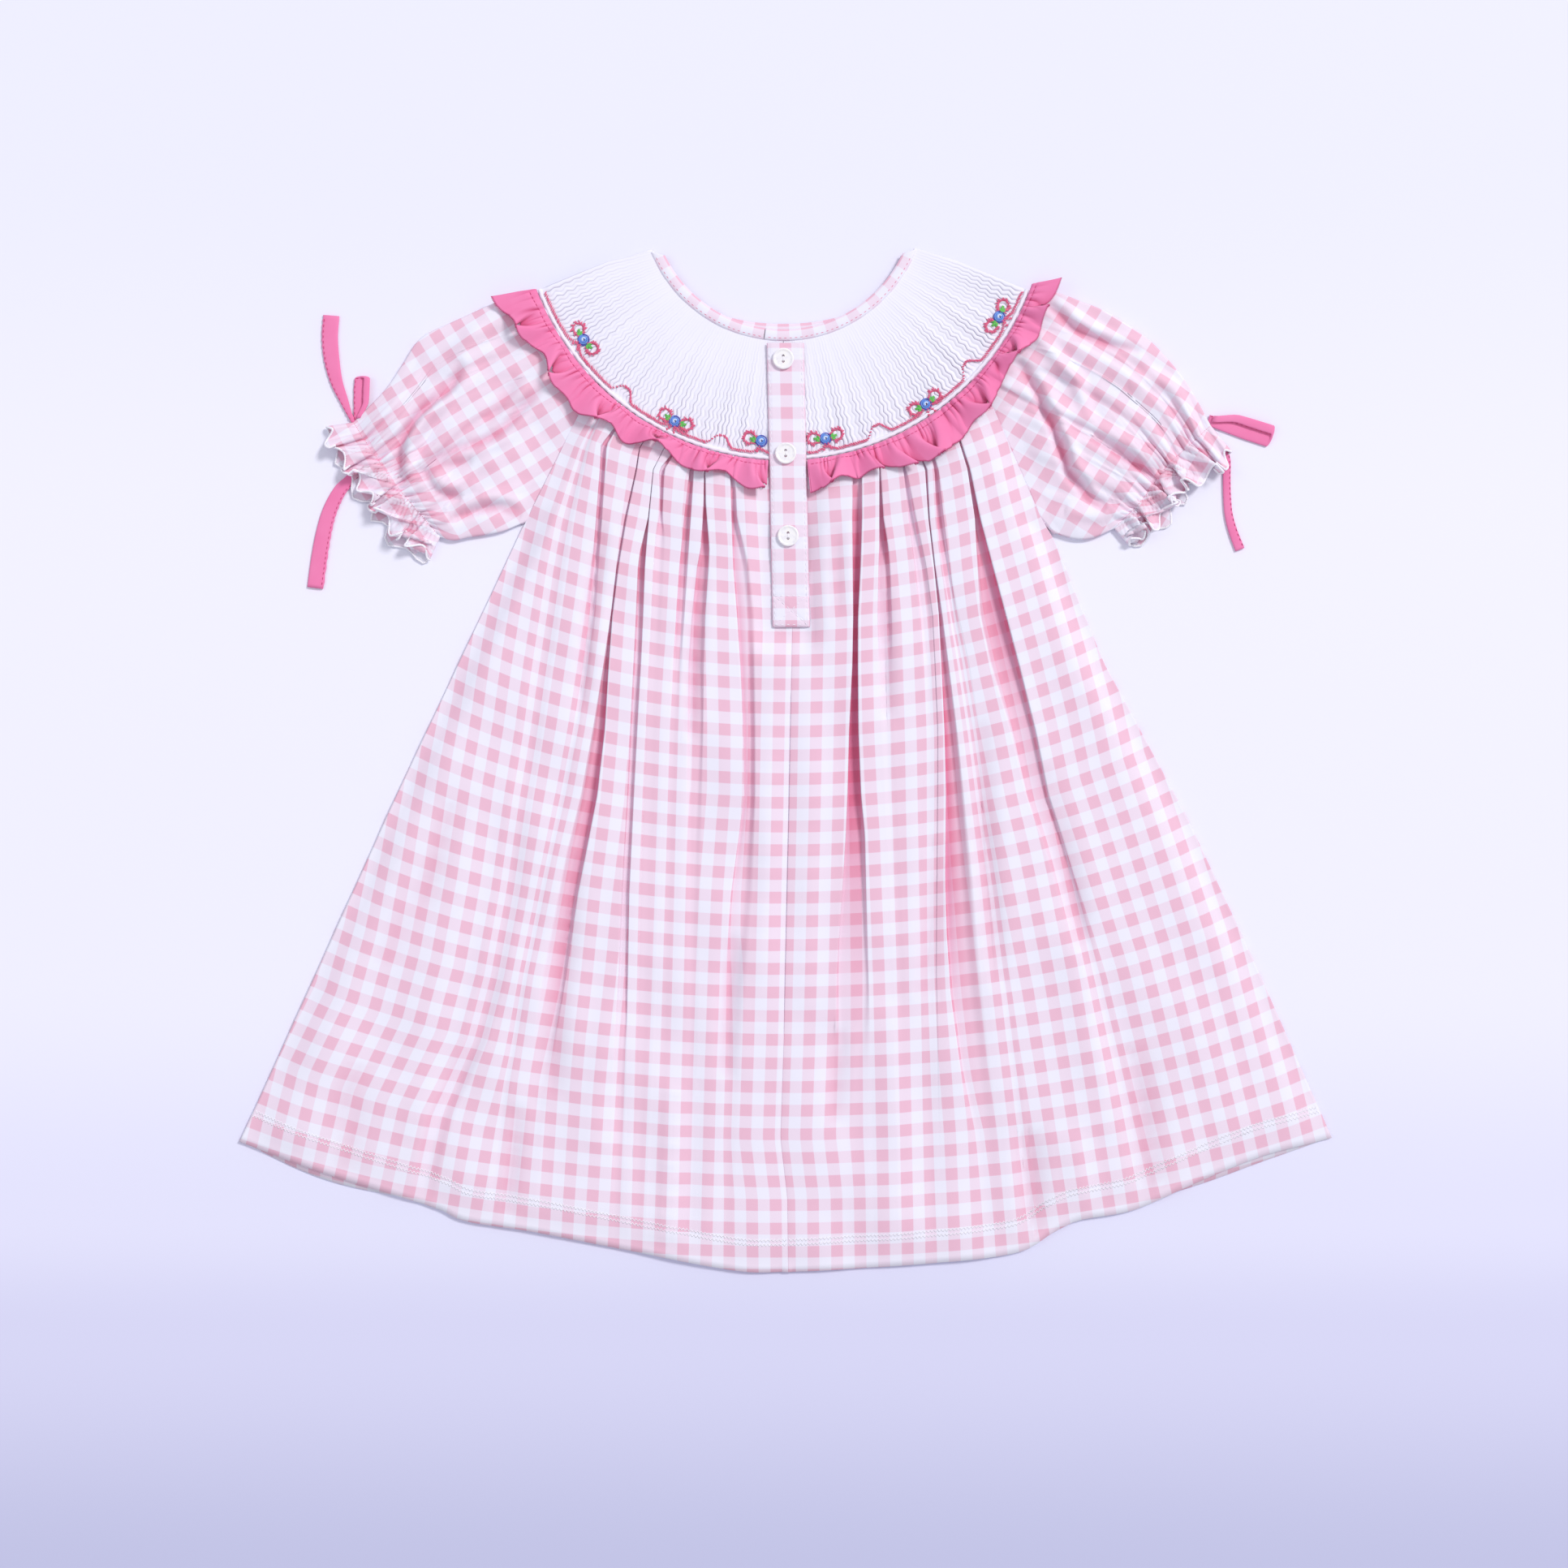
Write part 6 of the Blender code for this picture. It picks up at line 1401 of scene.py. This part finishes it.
def sleeve_row(side, v, beyond, fold_steps, flat_steps, under_steps):
    """One closed section of a sleeve, over the top layer and back along the under layer."""
    share = np.linspace(0.0, 1.0, 121)
    line = sleeve_layout(side, share, v)
    under_line = line
    if beyond > 0:
        shape = SLEEVE[side]
        line = line + (along(rounded(shape["frill"]), share) - line) * beyond
        under_line = under_line + (along(rounded(shape["frill_under"]), share) - under_line) * beyond
        joint = (line[[0, -1]] + under_line[[0, -1]]) / 2
        for row in (line, under_line):
            for end, weight in ((0, np.clip(1 - share * 12, 0, 1)), (1, np.clip(1 - (1 - share) * 12, 0, 1))):
                row += (joint[end] - row[-end]) * weight[:, None]
    length = runs(line)[-1]
    under_ruffle = np.interp(v, (0.0, 0.12, SLEEVE_SECTIONS[1], 1.0), (0.0, 0.08, SLEEVE_SECTIONS[1], 1.0))
    soft_wide, soft_high = (np.interp(v, SOFT_AT, shares) for shares in (SOFT_WIDTHS, SOFT_HEIGHTS[side]))
    folds = []
    for foot, lean, places, tall in SLEEVE_FOLDS[side]:
        spot = float(np.interp(v, SLEEVE_SECTIONS, places)) * length
        rise = float(np.interp(under_ruffle, SLEEVE_SECTIONS, tall)) * soft_high
        folds.append((spot, foot * soft_wide, rise + 1.6 * beyond, lean * (1.0 + beyond)))
    tile = SLEEVE_TILE * np.interp(v, (0.0, 0.15, 0.8, 1.0), (0.0, 1.0, 1.0, 0.0))
    spots, height, used, pocket = pleated_row(length, folds, fold_steps, flat_steps, swell=SWELL, tile=tile)
    upper = on_line(line, spots, height)
    across = np.clip(spots / length, 0.0, 1.0)
    full = np.clip(np.sin(math.pi * across), 0, None) ** 0.5
    puff = PUFF * np.interp(v, (0.0, 0.12, 0.4, 0.8, 1.0), (0.0, 0.1, 1.0, 1.0, 0.35))
    upper[:, 2] += lift(upper[:, 0], upper[:, 1], BACK_LOW, BACK_HIGH) + full * puff
    near_cuff = math.exp(-(1.0 - v) / CUFF_REACH) * (1.0 - 0.8 * beyond)
    gathers = np.abs(np.sin(used * 0.78 + 1.8 * ripple(used, 0 * used, 17.0, 41))) - 0.6
    nipped = 1.8 * hump(1.0 - v + beyond, 0.05)
    upper[:, 2] += full * (CUFF_GATHER * near_cuff * gathers - nipped)
    # Painted shade in the fold pockets and between the gathers at the cuff.
    pocket = np.clip(pocket * 0.6 + 0.8 * near_cuff * full * np.exp(-((gathers + 0.6) / 0.3) ** 2), 0.0, 1.0)
    back = np.linspace(1.0, 0.0, under_steps + 1)
    flat = along(under_line, back)
    under_z = lift(flat[:, 0], flat[:, 1], FRONT_LOW + 0.1, FRONT_HIGH)
    under = np.column_stack([flat, under_z])
    if beyond > 0:
        # The frill's hem waves in and out and up and down, each layer in its own time.
        for row, timing, share_up in ((upper, 0.4, 1.0), (under, 2.6, 0.4)):
            turn = 2 * math.pi * runs(row[:, :2]) / FRILL_PITCH + timing
            column = np.arange(len(row))
            ends = np.clip(np.minimum(column, len(row) - 1 - column) / 6.0, 0.0, 1.0)
            out = np.gradient(row[:, :2], axis=0)[:, ::-1] * (1.0, -1.0) * (-1.0 if row is under else 1.0)
            out *= (-1.0 if side == "left" else 1.0) / (np.linalg.norm(out, axis=1)[:, None] + 0.001)
            wave = FRILL_OUT * beyond * np.sin(turn + 0.8 * np.sin(turn * 0.37)) * ends
            row[:, :2] += out * wave[:, None]
            row[:, 2] += FRILL_UP * beyond * (1.0 + np.sin(turn + 1.3)) * ends * share_up
    edges = [np.array([*upper[end, :2], (upper[end, 2] + under[-1 - end, 2]) / 2 - 0.3]) for end in (-1, 0)]
    inset = EDGE_TUCK / length
    edges[0][:2] = along(line, 1 - inset * 0.4)
    edges[1][:2] = along(line, inset * 0.4)
    under[0, :2] = along(under_line, 1 - inset)
    under[-1, :2] = along(under_line, inset)
    # The cloth that a fold takes up is added along the row, so the check runs on over each fold.
    ends = line[[0, -1]]
    way = (ends[1] - ends[0]) / np.linalg.norm(ends[1] - ends[0])
    laid = np.vstack([edges[1][None, :2], upper[:, :2] + (used - spots)[:, None] * way, edges[0][None, :2],
                      under[:, :2], edges[1][None, :2]])
    depth = np.concatenate([[0.0], pocket, [0.0], np.zeros(len(under)), [0.0]])
    return np.vstack([edges[1][None], upper, edges[0][None], under, edges[1][None]]), laid, depth


for side in ("left", "right"):
    sign = -1 if side == "left" else 1
    made = [sleeve_row(side, v, 0.0, 14, 12, 24) for v in np.linspace(0.0, 1.0, SLEEVE_ROWS)]
    made += [sleeve_row(side, 1.0, beyond, 14, 12, 24) for beyond in np.linspace(0.07, 1.0, FRILL_ROWS)]
    points, laid, depth = (np.array(part) for part in zip(*made))
    top_count = (14 + 12) * len(SLEEVE_FOLDS[side]) + 12 + 1
    upper = points[:SLEEVE_ROWS, 1:1 + top_count]
    floor_z = upper[..., 2].copy()
    crease(upper, SLEEVE_CREASES[side], depth[:SLEEVE_ROWS, 1:1 + top_count], 1.9)
    for high, size, seed in ((0.9, 34.0, 51), (0.3, 17.0, 52)):
        upper[..., 2] += high * ripple(upper[..., 0], upper[..., 1], size, seed)
    inner = np.clip(np.minimum(np.arange(top_count), top_count - 1 - np.arange(top_count)) / 10.0, 0.0, 1.0)
    seam_near = np.clip(np.linspace(0.0, 1.0, SLEEVE_ROWS) / 0.2, 0.0, 1.0)[:, None]
    upper[..., 2] = np.maximum(floor_z + (upper[..., 2] - floor_z) * inner * seam_near, 2.0)
    depth = np.clip(depth, 0.0, 1.0)
    turned = np.stack([laid[..., 0] * math.cos(GRAIN_TURN) + sign * -laid[..., 1] * math.sin(GRAIN_TURN),
                       sign * laid[..., 0] * math.sin(GRAIN_TURN) + laid[..., 1] * math.cos(GRAIN_TURN)], -1)
    # The seam allowance runs on under the edge of the skirt.
    allowance = points[:1] - (sign * ALLOWANCE, 0.0, ALLOWANCE_DROP)
    allowance[..., 2] = np.maximum(allowance[..., 2], FRONT_LOW)
    piece = shell(f"sleeve_{side}", np.concatenate([allowance, points]), gingham,
                  np.concatenate([turned[:1] - (sign * ALLOWANCE, 0.0), turned]),
                  np.concatenate([depth[:1], depth]), closed=True)
    dress_piece(piece, f"sleeve_{side}")
    edge = points[-1]
    fine = along(edge, np.linspace(0.0, 1.0, 900))
    fine[:, 2] += 0.14 * np.sin(np.arange(900) * 1.9)
    threads(f"sleeve_edge_{side}", [fine], 0.62, white_thread)
    sewn = along(points[SLEEVE_ROWS - 1, 3:top_count - 2] + (0.0, 0.0, 0.32), np.linspace(0.0, 1.0, 301))
    threads(f"sleeve_elastic_{side}", [sewn[k:k + 3] for k in range(0, 297, 4)], 0.2, pink_thread,
            taper=True)

# The ties: tubular straps of the pink jersey, turned through and pressed flat with their stitched
# seam along one edge, knotted through the elastic's casing with a loop and loose tails.
TIE_THICK = 1.4
TIES = {
    # x, y, width
    "tie_left_tail_up": [(-231.8, 181.0, 2.6), (-235.0, 186.6, 2.8), (-238.0, 194.0, 4.6), (-242.0, 204.0, 6.6),
                         (-244.6, 216.0, 8.4), (-245.6, 228.0, 8.8), (-244.8, 239.6, 8.8)],
    "tie_left_tail_down": [(-231.5, 154.5, 5.6), (-235.6, 150.2, 6.0), (-240.4, 145.0, 7.0),
                           (-245.6, 134.5, 7.8), (-249.0, 122.0, 8.4), (-251.4, 108.0, 8.8), (-253.4, 92.9, 8.8)],
    "tie_right_tail_down": [(236.0, 167.0, 4.2), (237.6, 161.5, 4.2), (237.6, 152.0, 4.2),
                            (237.8, 143.0, 4.2), (238.6, 133.0, 4.4), (241.0, 123.5, 4.8), (244.8, 113.6, 5.2)],
}
LOOPS = {
    # root, tip, width, and how far the upper run has slipped sideways
    "tie_left_loop": ((-230.6, 182.6), (-229.6, 206.4), 5.6, 4.4),
    "tie_right_loop": ((227.6, 183.4), (261.0, 172.6), 8.0, -5.2),
}
TIE_RING = 16


def make_strap(name, middle, across, half_width):
    """A flattened tube along a middle line, a little puckered by the seam along one edge."""
    flow = np.gradient(middle, axis=0)
    flow /= np.linalg.norm(flow, axis=1)[:, None]
    up = np.cross(flow, across)
    up /= np.linalg.norm(up, axis=1)[:, None]
    run = runs(middle)
    turns = np.linspace(0.0, 2 * math.pi, TIE_RING + 1)
    columns = []
    for turn in turns:
        wide = math.copysign(abs(math.cos(turn)) ** 0.8, math.cos(turn))
        high = math.copysign(abs(math.sin(turn)) ** 0.7, math.sin(turn))
        pucker = 1.0 + 0.05 * np.sin(run * 2.4) * (wide > 0.3)
        seam_dip = 1.0 - 0.12 * hump(wide - 0.72, 0.1)
        columns.append(middle + across * (half_width * wide * pucker)[:, None]
                       + up * (TIE_THICK / 2 - 0.05) * high * seam_dip)
    columns[-1] = columns[0]
    grid = np.stack(columns, axis=1)
    bm = bmesh.new()
    bmesh.ops.create_grid(bm, x_segments=TIE_RING, y_segments=len(middle) - 1, size=0.5)
    for vert in bm.verts:
        vert.co = grid[round((vert.co.y + 0.5) * (len(middle) - 1)), round((vert.co.x + 0.5) * TIE_RING)] * MM
    bmesh.ops.remove_doubles(bm, verts=bm.verts[:], dist=0.001 * MM)
    rims = [edge for edge in bm.edges if edge.is_boundary]
    bmesh.ops.holes_fill(bm, edges=rims)
    bmesh.ops.recalc_face_normals(bm, faces=bm.faces[:])
    mesh = mesh_from(bm, name)
    mesh.shade_smooth()
    mesh.materials.append(pink)
    piece = link_piece(f"{name}_strap", mesh)
    dress_piece(piece, name)
    count = int(run[-1] / 0.7)
    seam_line = middle + across * (half_width * 0.78)[:, None] + up * (TIE_THICK / 2)
    sewn = along(seam_line, np.linspace(0.0, 1.0, count), axes=3)
    threads(f"{name}_stitches", [sewn[k:k + 3] for k in range(1, count - 3, 4)], 0.24, pink_dark_thread,
            taper=True)


for name, stations in TIES.items():
    fine = rounded(stations, 8)
    flow = np.gradient(fine[:, :2], axis=0)
    flow /= np.hypot(*flow.T)[:, None]
    across = np.column_stack([-flow[:, 1], flow[:, 0], np.zeros(len(fine))])
    middle = np.column_stack([fine[:, :2], np.full(len(fine), TIE_THICK / 2)])
    make_strap(name, middle, across, fine[:, 2] / 2)
for name, (root, tip, width, slip) in LOOPS.items():
    root, tip = np.array(root), np.array(tip)
    reach = np.hypot(*(tip - root))
    flow = (tip - root) / reach
    side_on = np.array([-flow[1], flow[0]])
    bend = TIE_THICK / 2 + SEAM
    section = [(reach * f, 0.0) for f in np.linspace(0.0, 0.85, 12)]
    section += [(reach - bend + bend * math.sin(turn), bend - bend * math.cos(turn))
                for turn in np.linspace(0.0, math.pi, 13)]
    section += [(reach * f, 2 * bend) for f in np.linspace(0.85, 0.06, 12)]
    section = np.array(section)
    slide = slip * section[:, 1] / (2 * bend) * (0.15 + 0.85 * eased(section[:, 0] / reach / 0.45))
    flat = root + section[:, :1] * flow - slide[:, None] * side_on
    middle = np.column_stack([flat, section[:, 1] + TIE_THICK / 2])
    across = np.tile([*side_on, 0.0], (len(middle), 1))
    taper = np.interp(section[:, 0], (0.0, reach * 0.6), (0.72, 1.0))
    taper *= 1.0 - 0.4 * section[:, 1] / (2 * bend)
    make_strap(name, middle, across, taper * width / 2)

# The hem: the jersey turned up once and held by two close rows of white zigzag, which ride over the
# folds of the skirt a thumb's width above the edge.
ZIG_PITCH, ZIG_WIDE, ROW_APART = 2.0, 1.3, 2.6
for side, (points, cloth) in back_skirt.items():
    zigzags = []
    for offset in (0.0, ROW_APART):
        v = 1.0 - (HEM_BAND + offset) / SKIRT_LENGTH
        row = np.interp(v, SKIRT_V, np.arange(len(SKIRT_V)))
        near, far = points[int(row)], points[int(row) + 1]
        line = near + (far - near) * (row - int(row))
        down = far - near
        down = down / np.linalg.norm(down, axis=1)[:, None]
        run = runs(line)
        spots = np.arange(0.8, run[-1] - 0.8, ZIG_PITCH / 2)
        path = at_run(line, run, spots)
        flow = at_run(down, run, spots)
        across = np.gradient(path, axis=0)
        out = np.cross(flow, across) * (1.0 if side == "right" else -1.0)
        out /= np.linalg.norm(out, axis=1)[:, None]
        swing = np.where(np.arange(len(spots)) % 2, ZIG_WIDE / 2, -ZIG_WIDE / 2)
        zigzags.append(path + flow * swing[:, None] + out * CLOTH_THICK / 2)
    threads(f"hem_zigzag_{side}", zigzags, 0.34, white_thread, sides=4)
